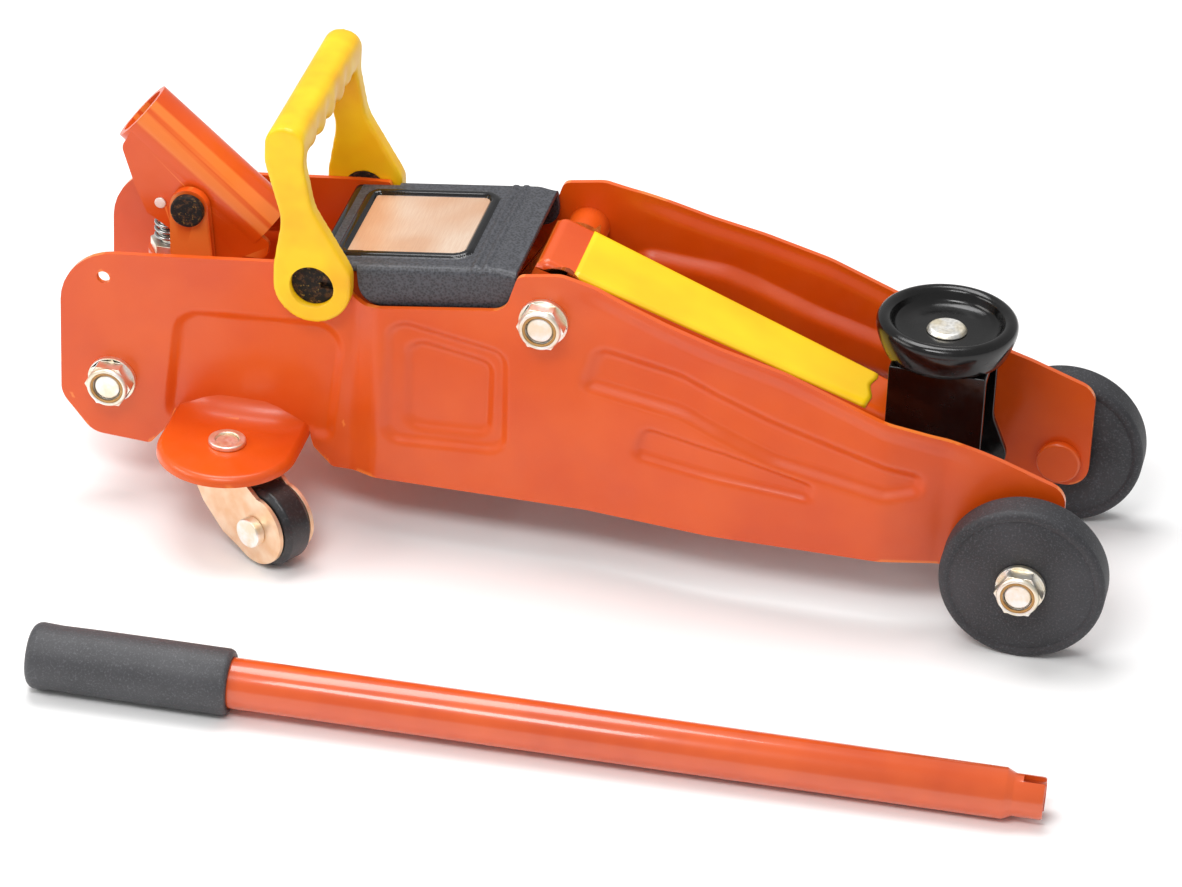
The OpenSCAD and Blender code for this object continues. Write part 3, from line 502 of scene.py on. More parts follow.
AMBER = lock_ring_amber()
nut_high = span("flange_nuts")[1]
NUT_T = 8
LOCK_NUTS = (
    ("front_axle", (0, AXLE.z / MM), nut_high.y), ("lift_pivot", PIVOT, Y_FRONT + NUT_T),
    ("rear_tie", TIE, Y_REAR + NUT_T),
)
for label, at, face in LOCK_NUTS:
    for side, word in ((-1, "right"), (1, "left")):
        collar = lathe(
            f"{word}_{label}_nut_collar",
            [(6.1, -0.3), (9.0, -0.3), (9.0, 0.6), (8.4, 1.5), (7.4, 1.7), (7.2, 1.2), (6.1, 1.2)],
            (at[0], side * face, at[1]), (0, side, 0), ZINC)
        insert = lathe(
            f"{word}_{label}_nut_insert", [(6.1, 1.0), (7.25, 1.0), (7.25, 1.35), (6.1, 1.35), (6.1, 1.0)],
            (at[0], side * face, at[1]), (0, side, 0), AMBER)
        for part in (collar, insert):
            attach(part, "frame")

# --- Frame members ---
# The base plate under the hydraulic unit and the tubes round the axle and tie rod are plain steel,
# coated with the plates.
for member, edge in (
    ("base_plate", 0.5), ("front_axle_bosses", 1.2), ("rear_tie_tube", 0.5), ("shaft_spacers", 0.3),
):
    soften(member, edge, ORANGE)

# --- Front wheels ---
# Solid moulded nylon wheels that turn freely on the axle between a spacer and a flanged lock nut.
# Their faces keep the dull, fine-grained skin of the mould, and the tread edges are rounded.


def moulded(name, body, light, roughness, grain_mm, depth_mm, ior=1.5):
    """Moulded polymer: an even colour with the pits of a spark-eroded mould, which catch the light as
    pale specks and keep the surface dull."""
    material, tree, coords = new_material(name)
    pits = add(tree, "TexNoise", "Fac", {
        "Vector": coords, "Scale": 1 / (grain_mm * MM), "Detail": 3, "Roughness": 0.65})
    specks = add(tree, "MapRange", "Result", {"Value": pits, "From Min": 0.52, "From Max": 0.72})
    tone = add(tree, "Mix", 2, {0: specks, 6: body, 7: light}, data_type="RGBA")
    patches = add(tree, "TexNoise", "Fac", {"Vector": coords, "Scale": 1 / (26 * MM), "Detail": 3})
    wear = add(tree, "MapRange", "Result", {
        "Value": patches, "From Min": 0.3, "From Max": 0.75, "To Max": 0.35})
    tone = add(tree, "Mix", 2, {0: wear, 6: tone, 7: light}, data_type="RGBA")
    skin = add(tree, "Bump", "Normal", {"Height": pits, "Distance": depth_mm * MM, "Strength": 0.6})
    return surface(material, {"Base Color": tone, "Roughness": roughness, "IOR": ior, "Normal": skin})


# Glass-filled black nylon: dull, dark grey in the light, with a fine pale speckle.
NYLON = moulded("wheel_nylon", "#27272A", "#505055", 0.62, 0.9, 0.08, 1.53)
WHEEL_R = span("left_front_wheel")[1].z / 2
wheel_low, wheel_high = span("left_front_wheel")


def tread_profile(r, w, bore, edge):
    """Half section of a wheel, from the bore out over one face, the tread and back."""
    arc = [(math.sin(t), 1 - math.cos(t)) for t in np.linspace(0, math.pi / 2, 7)]
    out = [(bore, 0.6), (bore + 0.6, 0), (r * 0.55, 0.1), (r - edge - 3, 0.1), (r - edge - 2.4, 0.6),
           (r - edge - 1.8, 0.6), (r - edge - 1.2, 0)]
    out += [(r - edge + edge * s, edge * c) for s, c in arc]
    return out + [(q, w - d) for q, d in reversed(out)] + [(bore, 0.6)]


for side, word in ((-1, "right"), (1, "left")):
    tyre = lathe(
        word + "_front_wheel_moulding",
        tread_profile(WHEEL_R, wheel_high.y - wheel_low.y, 6.06, 2.6),
        (0, side * wheel_low.y, WHEEL_R), (0, side, 0), NYLON, 128)
    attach(tyre, word + "_front_wheel")
    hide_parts(word + "_front_wheel")

# --- Casters ---
# Each rear caster is a pressed steel fork, yellow-passivated zinc, on a ball race under the shelf.
# A riveted axle carries a small black nylon wheel.


def passivated():
    """Yellow chromate over zinc: warm straw metal that drifts to peach and pale green in patches, with
    painted shade darkening the folds."""
    material, tree, coords = new_material("yellow_zinc")
    patches = add(tree, "TexNoise", "Fac", {"Vector": coords, "Scale": 1 / (8 * MM)})
    drift = add(tree, "MapRange", "Result", {"Value": patches, "From Min": 0.35, "From Max": 0.65})
    colour = add(tree, "Mix", 2, {0: drift, 6: "#F6DCC0", 7: "#EDC49C"}, data_type="RGBA")
    # Painted shade: folds and hollows, found by low pointiness, are darkened towards a brown.
    bend = add(tree, "NewGeometry", "Pointiness", {})
    fold = add(tree, "MapRange", "Result", {"Value": bend, "From Min": 0.4, "From Max": 0.48})
    colour = add(tree, "Mix", 2, {0: fold, 6: "#B98B5E", 7: colour}, data_type="RGBA")
    marks = add(tree, "TexNoise", "Fac", {"Vector": coords, "Scale": 1 / (0.6 * MM), "Detail": 3})
    rolled = add(tree, "Bump", "Normal", {"Height": marks, "Distance": 0.03 * MM, "Strength": 0.4})
    return surface(material, {"Base Color": colour, "Roughness": 0.42, "Metallic": 0.85, "Normal": rolled})


YELLOW_ZINC = passivated()
# The casters' plain black nylon, turned smoother and a little shinier.
CASTER_NYLON = moulded("caster_nylon", "#161618", "#3A3A3D", 0.35, 1.1, 0.05, 1.53)
for word in ("right", "left"):
    soften(word + "_caster_fork", 0.7, YELLOW_ZINC)
    soften(word + "_caster_wheel", 1.6, CASTER_NYLON)

# --- Lift arm ---
# A folded channel of 4 mm steel, open below, that tapers to the saddle and carries two crank ears
# for the ram. Its folds are rounded, its rear edge is rolled, and it is coated with the plates.
pin_low, pin_high = span("saddle_pin")
ARM_A = np.array(PIVOT)
ARM_B = np.array([(pin_low.x + pin_high.x) / 2, (pin_low.z + pin_high.z) / 2])
ARM_L = float(np.linalg.norm(ARM_B - ARM_A))
ARM_ALONG = (ARM_B - ARM_A) / ARM_L
ARM_UP = np.array([-ARM_ALONG[1], ARM_ALONG[0]])
ARM_TOP = 12.5
ARM_HALF = 21.0
SHOULDER = 4.2


def arm_half_width(u):
    return ARM_HALF - 7 * min(max(u / (ARM_L - 10), 0), 1)


def arm_coords(point):
    """Where a point lies along the arm, across it and over its centre line."""
    flat = np.array([point.x - AXLE.x, point.z]) / MM - ARM_A
    return float(flat @ ARM_ALONG), (point.y - AXLE.y) / MM, float(flat @ ARM_UP)


def on_shoulder(edge):
    """True for the two long outer edges of the arm's top and for its rear lip."""
    ends = [arm_coords(v.co) for v in edge.verts]
    if ends[0][1] * ends[1][1] < 0:
        return False
    outer = all(v > ARM_TOP - 4.6 and abs(abs(y) - arm_half_width(u)) < 0.05 for u, y, v in ends)
    top = all(v > ARM_TOP - 0.05 for u, y, v in ends)
    return outer and (top or all(u < -7 or u > ARM_L for u, y, v in ends))


def bevel_now(thing, chosen, width_mm, segments):
    """Rounds the chosen edges of a piece with a wide radius, before its fine edges are broken."""
    build = bmesh.new()
    build.from_mesh(thing.data)
    picked = [e for e in build.edges if len(e.link_faces) == 2 and chosen(e)]
    bmesh.ops.bevel(build, geom=picked, offset=width_mm * MM, segments=segments, profile=0.5,
                    affect="EDGES", clamp_overlap=False)
    for face in build.faces:
        face.smooth = True
    build.to_mesh(thing.data)
    build.free()


arm = soften("lift_arm", 0.7, ORANGE, 2, 40)
bevel_now(arm, on_shoulder, SHOULDER, 6)

# --- Arm label ---
# A yellow vinyl strip, blank here, stuck over the arm's top and down its rounded folds. Its front end
# is torn a little unevenly, and its film lifts the light with a soft sheen.


def vinyl():
    """Printed yellow vinyl: clean and even, with a soft sheen and a faint ripple where air is trapped."""
    material, tree, coords = new_material("label_vinyl")
    patches = add(tree, "TexNoise", "Fac", {"Vector": coords, "Scale": 1 / (30 * MM)})
    fade = add(tree, "MapRange", "Result", {"Value": patches, "From Min": 0.3, "From Max": 0.7})
    tone = add(tree, "Mix", 2, {0: fade, 6: "#FFD60E", 7: "#F8C406"}, data_type="RGBA")
    air = add(tree, "TexNoise", "Fac", {"Vector": coords, "Scale": 1 / (7 * MM), "Detail": 1})
    ripple = add(tree, "Bump", "Normal", {"Height": air, "Distance": 0.1 * MM, "Strength": 0.25})
    return surface(material, {"Base Color": tone, "Roughness": 0.38, "IOR": 1.53, "Normal": ripple})


VINYL = vinyl()


def arm_point(u, y, v):
    """A point from its place along the arm, across it and over its centre line."""
    at = ARM_A + ARM_ALONG * u + ARM_UP * v
    return float(at[0]), y, float(at[1])


def shoulder_drop(over):
    """How far the rounded fold has dropped at a distance past its start."""
    over = min(max(over, 0), SHOULDER)
    return SHOULDER - math.sqrt(SHOULDER * SHOULDER - over * over)


LABEL_FROM, LABEL_TO, ACROSS = 3, 137, 40
tear = [0.0, 0.3, 0.7, 0.9, 0.6, -0.2, -0.9, -1.3, -1.0, -0.4, 0.3, 0.5, 0.2, 0.3]
rows_u, points = 60, []
for i in range(rows_u):
    for j in range(ACROSS + 1):
        t = j / ACROSS * 2 - 1
        end = LABEL_TO + float(np.interp(j, np.linspace(0, ACROSS, len(tear)), tear))
        u = LABEL_FROM + (end - LABEL_FROM) * i / (rows_u - 1)
        wide = arm_half_width(u)
        y = t * (wide - 0.7)
        points.append(arm_point(u, y, ARM_TOP + 0.05 - shoulder_drop(abs(y) - (wide - SHOULDER))))
label = piece("arm_label_film", points, grid_faces(rows_u, ACROSS + 1), VINYL)
if label.data.polygons[0].normal.z < 0:
    label.data.flip_normals()
modify(label, "SOLIDIFY", thickness=0.3 * MM, offset=1)
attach(label, "lift_arm")
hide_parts("arm_label")

# --- Saddle, bracket and links ---
# The saddle is a cast dish held by a plated bolt to a folded bracket, which the two parallel links
# keep level. All are dipped in gloss black enamel, which pools in the corners.


def enamel():
    """Gloss black dip enamel: near black, mirror-like under a thick film that runs and pools."""
    material, tree, coords = new_material("black_enamel")
    patches = add(tree, "TexNoise", "Fac", {"Vector": coords, "Scale": 1 / (18 * MM), "Detail": 3})
    thick = add(tree, "MapRange", "Result", {"Value": patches, "From Min": 0.4, "From Max": 0.7})
    tone = add(tree, "Mix", 2, {0: thick, 6: "#060606", 7: "#121111"}, data_type="RGBA")
    runs = add(tree, "TexNoise", "Fac", {"Vector": coords, "Scale": 1 / (7 * MM), "Detail": 3})
    sheen = add(tree, "MapRange", "Result", {
        "Value": runs, "From Min": 0.35, "From Max": 0.7, "To Min": 0.1, "To Max": 0.3})
    pools = add(tree, "TexNoise", "Fac", {"Vector": coords, "Scale": 1 / (3.5 * MM)})
    film = add(tree, "Bump", "Normal", {"Height": pools, "Distance": 0.12 * MM, "Strength": 0.35})
    return surface(material, {"Base Color": tone, "IOR": 1.5, "Roughness": sheen, "Normal": film})


ENAMEL = enamel()
saddle_low, saddle_high = span("saddle")
SADDLE_R = (saddle_high.x - saddle_low.x) / 2
SADDLE_X = (saddle_high.x + saddle_low.x) / 2
SADDLE_TOP = saddle_high.z
SADDLE_BASE = saddle_low.z
dish = [
    (6.1, SADDLE_BASE), (24.5, SADDLE_BASE), (26, SADDLE_BASE + 0.8), (27, SADDLE_BASE + 3),
    (28.2, SADDLE_BASE + 6), (29.2, SADDLE_BASE + 9), (SADDLE_R, SADDLE_TOP - 4.5),
]
dish += [
    (SADDLE_R - 3.3 + 3.3 * math.cos(t), SADDLE_TOP - 3.3 + 3.3 * math.sin(t))
    for t in np.linspace(0, math.pi * 0.86, 12)
]
dish += [
    (23.0, SADDLE_TOP - 4.4), (21.8, SADDLE_TOP - 6.0), (19.5, SADDLE_TOP - 6.8), (16, SADDLE_TOP - 7),
    (10.5, SADDLE_TOP - 7), (9.4, SADDLE_TOP - 7), (6.1, SADDLE_TOP - 7), (6.1, SADDLE_BASE),
]
cup = lathe("saddle_casting", dish, (SADDLE_X, 0, 0), (0, 0, 1), ENAMEL, 128)
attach(cup, "saddle")
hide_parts("saddle")
soften("saddle_bolt", 0.7, ZINC)
for node, edge in (("saddle_bracket", 0.9), ("right_link", 0.8), ("left_link", 0.8), ("cylinder_cap", 1.0)):
    soften(node, edge, ENAMEL)

# --- Hydraulic unit ---
# A cast pump block and a reservoir tube, sprayed with the frame; the pressure cylinder, ram and pump
# plunger inside are ground steel, and the ram pushes the crank pin through a machined yoke.


def bare_steel(name, body, roughness, mark_mm):
    """Bare steel, oiled: neutral grey metal with fine machining lines that spread the highlight."""
    material, tree, coords = new_material(name)
    stretch = add(tree, "Mapping", "Vector", {"Vector": coords, "Scale": (0.15, 1.0, 1.0)})
    lines = add(tree, "TexNoise", "Fac", {"Vector": stretch, "Scale": 1 / (mark_mm * MM), "Detail": 3})
    tone = add(tree, "Mix", 2, {0: lines, 6: body, 7: "#8C8C8A"}, data_type="RGBA")
    cut = add(tree, "Bump", "Normal", {"Height": lines, "Distance": 0.02 * MM, "Strength": 0.4})
    return surface(material, {"Base Color": tone, "Roughness": roughness, "Metallic": 1.0, "Normal": cut})


MACHINED = bare_steel("machined_steel", "#B9B8B4", 0.34, 0.5)
GROUND = bare_steel("ground_steel", "#D2D2D0", 0.14, 0.3)
# Nitrile rubber: soft black without a highlight.
SEAL = moulded("nitrile_rubber", "#141414", "#2A2A2A", 0.5, 0.8, 0.03)
soften("pump_block", 1.2, ORANGE)
soften("reservoir_tube", 0.6, ORANGE)
dress(["pressure_cylinder", "ram_piston"], MACHINED)
dress(["ram_rod"], GROUND)
dress(["rod_seal", "piston_seal"], SEAL)
for node, edge, steel, paint in (
    ("ram_yoke", 0.8, MACHINED, "machined_steel"), ("socket_roller", 0.5, MACHINED, "machined_steel"),
    ("pump_plunger", 0.5, GROUND, "ground_steel"), ("filler_plug", 0.6, SEAL, "seal_rubber"),
):
    soften(node, edge, steel)

spring_low, spring_high = span("plunger_spring")
WIRE = 0.85
coil_r = (spring_high.x - spring_low.x) / 2 - WIRE
coil_at = ((spring_low.x + spring_high.x) / 2, 0.0)
turns, per_turn, round_wire = 5, 32, 10
points = []
for i in range(turns * per_turn + 1):
    t = i / (turns * per_turn)
    a = 2 * math.pi * turns * t
    lift = spring_low.z + WIRE + (spring_high.z - spring_low.z - 2 * WIRE) * t
    for k in range(round_wire):
        b = 2 * math.pi * k / round_wire
        r = coil_r + WIRE * math.cos(b)
        points.append((coil_at[0] + r * math.cos(a), r * math.sin(a), lift + WIRE * math.sin(b)))
faces = [
    (i * round_wire + k, i * round_wire + (k + 1) % round_wire,
     (i + 1) * round_wire + (k + 1) % round_wire, (i + 1) * round_wire + k)
    for i in range(turns * per_turn) for k in range(round_wire)
]
ends = [tuple(range(round_wire)), tuple(turns * per_turn * round_wire + k for k in range(round_wire))]
coil = piece("plunger_spring_coil", points, faces + ends, GROUND)
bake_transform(coil)
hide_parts("plunger_spring")

# --- Handle socket ---
# A tube welded between two folded cheeks; it rocks on two riveted pivot pins in the block's ears and
# presses the plunger through a roller. The pin heads are left in rough black oxide.


def oxide():
    """Black oxide that has begun to rust: matt near-black with brown and straw specks."""
    material, tree, coords = new_material("black_oxide")
    blotches = add(tree, "TexNoise", "Fac", {
        "Vector": coords, "Scale": 1 / (2.4 * MM), "Detail": 4, "Roughness": 0.7})
    spots = add(tree, "MapRange", "Result", {"Value": blotches, "From Min": 0.5, "From Max": 0.66})
    rust = add(tree, "Mix", 2, {0: spots, 6: "#15110F", 7: "#5A3A20"}, data_type="RGBA")
    flecks = add(tree, "TexNoise", "Fac", {
        "Vector": coords, "Scale": 1 / (1.6 * MM), "Detail": 3, "Roughness": 0.7})
    straw = add(tree, "MapRange", "Result", {"Value": flecks, "From Min": 0.6, "From Max": 0.7})
    tone = add(tree, "Mix", 2, {0: straw, 6: rust, 7: "#A8823C"}, data_type="RGBA")
    scale = add(tree, "TexNoise", "Fac", {
        "Vector": coords, "Scale": 1 / (1.5 * MM), "Detail": 4, "Roughness": 0.7})
    crust = add(tree, "Bump", "Normal", {"Height": scale, "Distance": 0.35 * MM, "Strength": 0.8})
    return surface(material, {"Base Color": tone, "Roughness": 0.7, "Metallic": 0.35, "Normal": crust})


OXIDE = oxide()
soften("handle_socket", 0.8, ORANGE)
soften("socket_pivot_pins", 1.0, OXIDE)

# --- Carry handle ---
# One polypropylene moulding with soft edges: two eyes on shoulder bolts, two arms, and a cross grip
# with finger ridges on its inner side. The bolts' heads fill the eyes and carry a key notch.


def poly_yellow():
    """Yellow polypropylene: slightly waxy, light passes a little way in, with soft satin highlights."""
    material, tree, coords = new_material("yellow_polypropylene")
    patches = add(tree, "TexNoise", "Fac", {"Vector": coords, "Scale": 1 / (20 * MM)})
    shade = add(tree, "MapRange", "Result", {"Value": patches, "From Min": 0.35, "From Max": 0.7})
    tone = add(tree, "Mix", 2, {0: shade, 6: "#FCCF10", 7: "#F3B60A"}, data_type="RGBA")
    sink = add(tree, "TexNoise", "Fac", {"Vector": coords, "Scale": 1 / (5 * MM)})
    waves = add(tree, "Bump", "Normal", {"Height": sink, "Distance": 0.12 * MM, "Strength": 0.3})
    return surface(material, {
        "Base Color": tone, "Roughness": 0.38, "IOR": 1.49, "Subsurface Weight": 0.06,
        "Subsurface Radius": (0.004, 0.003, 0.001), "Normal": waves})


POLY = poly_yellow()
bail_high = span("carry_handle")[1]
BAIL_R = 16.75
BAIL_IN = Y_REAR + 0.4
BAIL_OUT = bail_high.y
GRIP_AT = (EYE[0] - 12.4, bail_high.z - 9.0)


def extruded(outline, y0, y1, start):
    """Points and faces of an outline in X and Z, drawn out along Y."""
    count = len(outline)
    points = [(x, y, z) for y in (y0, y1) for x, z in outline]
    faces = [(start + i, start + (i + 1) % count, start + count + (i + 1) % count, start + count + i)
             for i in range(count)]
    return points, faces + [tuple(start + i for i in range(count)),
                            tuple(start + 2 * count - 1 - i for i in range(count))]


HUB = (EYE[0] - BAIL_R, EYE[0] + BAIL_R, EYE[1] - BAIL_R)
limb = rounded([
    (HUB[0], HUB[2], BAIL_R - 0.1), (HUB[1], HUB[2], BAIL_R - 0.1), (HUB[1], EYE[1] + 8, 12),
    (EYE[0] - 0.5, EYE[1] + 36, 22), (EYE[0] - 4.5, EYE[1] + 56, 16), (GRIP_AT[0] + 8.6, GRIP_AT[1] + 9, 8),
    (GRIP_AT[0] - 8.6, GRIP_AT[1] + 9, 8), (EYE[0] - 21.2, EYE[1] + 56, 18), (EYE[0] - 13.5, EYE[1] + 30, 22),
    (HUB[0], EYE[1] + 8, 16),
])
points, faces = extruded(limb, BAIL_IN, BAIL_OUT, 0)
more, extra = extruded(limb, -BAIL_OUT, -BAIL_IN, len(points))
points, faces = points + more, faces + extra
base, stations = len(points), np.linspace(-BAIL_OUT + 3, BAIL_OUT - 3, 97)
AROUND = 40
for y in stations:
    ridge = 1.5 * math.cos(2 * math.pi * y / 15) * min(1, max(0, (32 - abs(y)) / 6))
    for k in range(AROUND):
        t = 2 * math.pi * k / AROUND
        c, s = math.cos(t), math.sin(t)
        under = max(0.0, math.cos(t + math.radians(65)))
        x = math.copysign(abs(c) ** 0.7, c) * (8.2 + ridge * under * 0.8)
        z = math.copysign(abs(s) ** 0.7, s) * (8.8 + ridge * under)
        points.append((GRIP_AT[0] + x, y, GRIP_AT[1] + z))
faces += [
    tuple(base + (i + a) * AROUND + (k + b) % AROUND for a, b in ((0, 0), (0, 1), (1, 1), (1, 0)))
    for i in range(len(stations) - 1) for k in range(AROUND)
]
faces += [tuple(base + i * AROUND + k for k in range(AROUND)) for i in (0, len(stations) - 1)]
handle = piece("carry_handle_moulding", points, faces, POLY)
modify(handle, "REMESH", mode="VOXEL", voxel_size=0.9 * MM, use_smooth_shade=True)
modify(handle, "SMOOTH", factor=0.5, iterations=9)
settle(handle)
bore = piece("eye_bore", *drill(EYE, 9.55, -60, 60, 1, 96), POLY)
modify(handle, "BOOLEAN", object=bore, operation="DIFFERENCE", solver="EXACT")
settle(handle)
bpy.data.objects.remove(bore)
handle.data.materials.clear()
handle.data.materials.append(POLY)
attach(handle, "carry_handle")
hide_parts("carry_handle")
soften("carry_handle_bolts", 0.8, OXIDE)

# --- Top cover and nameplate ---
# A dark grey ABS moulding snapped over the plates, with a leather grain, a raised rounded frame
# round a copper-tinted foil nameplate, and a stepped ridge band at the front.


def leather_grain():
    """Dark grey ABS with a leather grain: pebbles about 1 mm across, with a painted highlight lightening
    their tops.
    """
    material, tree, coords = new_material("cover_abs")
    cells = add(tree, "TexVoronoi", "Distance", {"Vector": coords, "Scale": 1 / (1.1 * MM)}, feature="F1")
    fine = add(tree, "TexNoise", "Fac", {"Vector": coords, "Scale": 1 / (0.5 * MM), "Detail": 3})
    pebble = add(tree, "Math", "Value", {0: cells, 1: fine}, operation="ADD")
    # Painted highlight: the raised tops of the pebbles are lightened.
    tops = add(tree, "MapRange", "Result", {"Value": pebble, "From Min": 0.7, "From Max": 1.2})
    tone = add(tree, "Mix", 2, {0: tops, 6: "#2C2D31", 7: "#4B4C52"}, data_type="RGBA")
    skin = add(tree, "Bump", "Normal", {"Height": pebble, "Distance": 0.1 * MM, "Strength": 0.55})
    return surface(material, {"Base Color": tone, "Roughness": 0.46, "IOR": 1.53, "Normal": skin})


ABS = leather_grain()
# The same ABS where the mould is polished: deep black with a sharp reflection.
GLOSS_ABS = moulded("cover_gloss_abs", "#0E0E10", "#1B1B1E", 0.14, 1.5, 0.01, 1.53)
COVER_L = math.hypot(COVER_B[0] - COVER_A[0], COVER_B[1] - COVER_A[1])
COVER_STEP = NOTCH + 5 - COVER_A[0]
COVER_HALF = cover_high.y
COVER_SLIM = COVER_HALF - 2.2
NAME_PLATE = rounded([(12, -26, 2), (63, -26, 4), (63, 26, 4), (12, 26, 2)])
COVER_SIDE = rounded([(COVER_STEP, 0, 0), (COVER_L, 0, 0), (COVER_L, -SKIRT, 8), (COVER_STEP, -SKIRT, 10)])


def cover_point(u, y, v):
    """A point from its place along the cover's slope, across it and over it."""
    c, s = math.cos(COVER_TILT), math.sin(COVER_TILT)
    return COVER_A[0] + u * c - v * s, y, COVER_A[1] + u * s + v * c


def cover_relief(u, y):
    """Height of the cover's top over its plane: recess, raised frame, ridges, rolled rear lip."""
    inside = depth_inside(NAME_PLATE, np.stack([u, y], 1))
    v = 1.2 * ease((inside + 4.6) / 1.4) * ease(-inside / 0.9) - 0.9 * ease(inside / 0.7)
    for centre in (COVER_L - 18, COVER_L - 13.4):
        v = v + 0.8 * ease((1.6 - abs(u - centre)) / 0.9) * ease((COVER_SLIM - abs(y)) / 1.2)
    lip = np.clip((3.2 - u) / 3.2, 0, 1)
    return v - 1.8 * ease((u - COVER_L + 9) / 9) - 2.2 * (1 - np.sqrt(1 - lip * lip))


def cover_skin():
    """One skin from the left skirt's hem over the top to the right one."""
    bend = 3.0
    columns = np.unique(np.round(np.concatenate([
        np.linspace(0, COVER_L, 120), [COVER_STEP - 0.02, COVER_STEP + 0.02], np.linspace(0, 3.2, 8),
        np.linspace(COVER_STEP, COVER_STEP + 10, 16), np.linspace(COVER_L - 8, COVER_L, 14),
    ]), 3))
    skirt, fold, top = 11, 6, 105
    down = np.concatenate([
        np.linspace(1, 0, skirt + 1)[:-1], np.zeros(2 * fold + top), np.linspace(0, 1, skirt + 1)[1:]])
    turn = np.concatenate([
        np.zeros(skirt), np.linspace(0, math.pi / 2, fold + 1)[:-1], np.full(top, math.pi / 2),
        np.linspace(math.pi / 2, 0, fold + 1)[1:], np.zeros(skirt)])
    along = np.concatenate([np.ones(skirt + fold), np.linspace(1, -1, top), -np.ones(skirt + fold)])
    points = []
    for u in columns:
        wide = COVER_HALF if u > COVER_STEP else COVER_SLIM
        hem = reach(COVER_SIDE, min(u, COVER_L - 0.01))[0] if u > COVER_STEP else -3.2
        v = cover_relief(np.full(len(along), u), along * (wide - bend)) - bend * (1 - np.sin(turn))
        v = v + (np.minimum(hem, v - 0.05) - v) * down
        y = along * (wide - bend) + np.sign(along) * bend * np.cos(turn)
        points += [cover_point(u, float(b), float(c)) for b, c in zip(y, v)]
    return points, grid_faces(len(columns), len(along))


cover = piece("top_cover_moulding", *cover_skin(), ABS)
if sum(f.normal.z for f in cover.data.polygons) < 0:
    cover.data.flip_normals()
cover.data.materials.append(GLOSS_ABS)
flat = np.array([((f.center.x - AXLE.x) / MM, (f.center.y - AXLE.y) / MM) for f in cover.data.polygons])
flat[:, 0] = (flat[:, 0] - COVER_A[0]) / math.cos(COVER_TILT)
near = depth_inside(NAME_PLATE, flat)
glossy = ((near > -4.4) & (near < 0.4) & (abs(flat[:, 1]) < 31)) | (flat[:, 0] < 3.6)
cover.data.polygons.foreach_set("material_index", glossy.astype(np.int32))
modify(cover, "SOLIDIFY", thickness=1.9 * MM, offset=-1, use_even_offset=True)
modify(cover, "WEIGHTED_NORMAL", weight=60)
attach(cover, "frame")
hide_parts("top_cover")


def foil():
    """Brushed aluminium foil with a copper lacquer: lines run across, and the tint pales in bands."""
    material, tree, coords = new_material("nameplate_foil")
    patches = add(tree, "TexNoise", "Fac", {"Vector": coords, "Scale": 1 / (28 * MM), "Detail": 1})
    band = add(tree, "MapRange", "Result", {"Value": patches, "From Min": 0.35, "From Max": 0.65})
    colour = add(tree, "Mix", 2, {0: band, 6: "#EFC3A2", 7: "#FBE2CB"}, data_type="RGBA")
    brushed = add(tree, "Mapping", "Vector", {"Vector": coords, "Scale": (1.0, 0.05, 1.0)})
    strokes = add(tree, "TexNoise", "Fac", {"Vector": brushed, "Scale": 1 / (0.4 * MM), "Detail": 3})
    line = add(tree, "MapRange", "Result", {
        "Value": strokes, "From Min": 0.3, "From Max": 0.7, "To Max": 0.3})
    colour = add(tree, "Mix", 2, {0: line, 6: colour, 7: "#D69E78"}, data_type="RGBA")
    return surface(material, {"Base Color": colour, "Roughness": 0.36, "Metallic": 0.55})


soften("cover_nameplate", 0.25, foil(), 2)

# --- Pump bar ---
# A steel tube in glossy orange lacquer, its tip swaged down and slotted to turn the release screw,
# pushed into a ribless PVC grip with a rounded end. It lies loose on the floor beside the jack.


def lacquer():
    """Orange stoving lacquer with a clear top coat: glossy, so the light makes one long highlight, with
    a faint waviness along the tube."""
    material, tree, coords = new_material("orange_lacquer")
    patches = add(tree, "TexNoise", "Fac", {"Vector": coords, "Scale": 1 / (24 * MM)})
    shade = add(tree, "MapRange", "Result", {"Value": patches, "From Min": 0.35, "From Max": 0.7})
    tone = add(tree, "Mix", 2, {0: shade, 6: "#E05A1C", 7: "#D24E16"}, data_type="RGBA")
    sag = add(tree, "TexNoise", "Fac", {"Vector": coords, "Scale": 1 / (6 * MM), "Detail": 1})
    waves = add(tree, "Bump", "Normal", {"Height": sag, "Distance": 0.05 * MM, "Strength": 0.3})
    return surface(material, {
        "Base Color": tone, "Roughness": 0.3, "IOR": 1.52, "Coat Weight": 0.8, "Coat Roughness": 0.08,
        "Normal": waves})


LACQUER = lacquer()
# Dipped PVC: dark grey, slightly rough to the touch, so its highlight spreads wide.
PVC = moulded("grip_pvc", "#37373A", "#5C5C60", 0.55, 0.8, 0.12, 1.54)
TUBE_R, GRIP_R, BAR_L, GRIP_L = 10.5, 13.75, 416.0, 84.0
yaw = math.radians(2.34)
tilt = math.asin((GRIP_R - TUBE_R) / (BAR_L - GRIP_L / 2))
bar_axis = Vector((math.cos(tilt) * math.cos(yaw), math.cos(tilt) * math.sin(yaw), -math.sin(tilt)))
BAR_END = (REAR + 35, -(CASTER[1] + SHELF_R) - 103, GRIP_R * math.cos(tilt))
TIP_R = TUBE_R - 1.8
arc = [(math.sin(t), 1 - math.cos(t)) for t in np.linspace(0, math.pi / 2, 6)]
sleeve = [(0.0, 0.0), (GRIP_R - 4, 0.0)] + [(GRIP_R - 4 + 4 * s, 4 * c) for s, c in arc]
sleeve += [(GRIP_R - 0.35, 12), (GRIP_R - 0.1, 30), (GRIP_R, 60), (GRIP_R, GRIP_L - 2)]
sleeve += [(GRIP_R - 0.6, GRIP_L - 0.6), (GRIP_R - 1.4, GRIP_L), (TUBE_R, GRIP_L), (TUBE_R, 4.0), (0.0, 4.0)]
grip = lathe("bar_grip_sleeve", sleeve, BAR_END, bar_axis, PVC, 96)
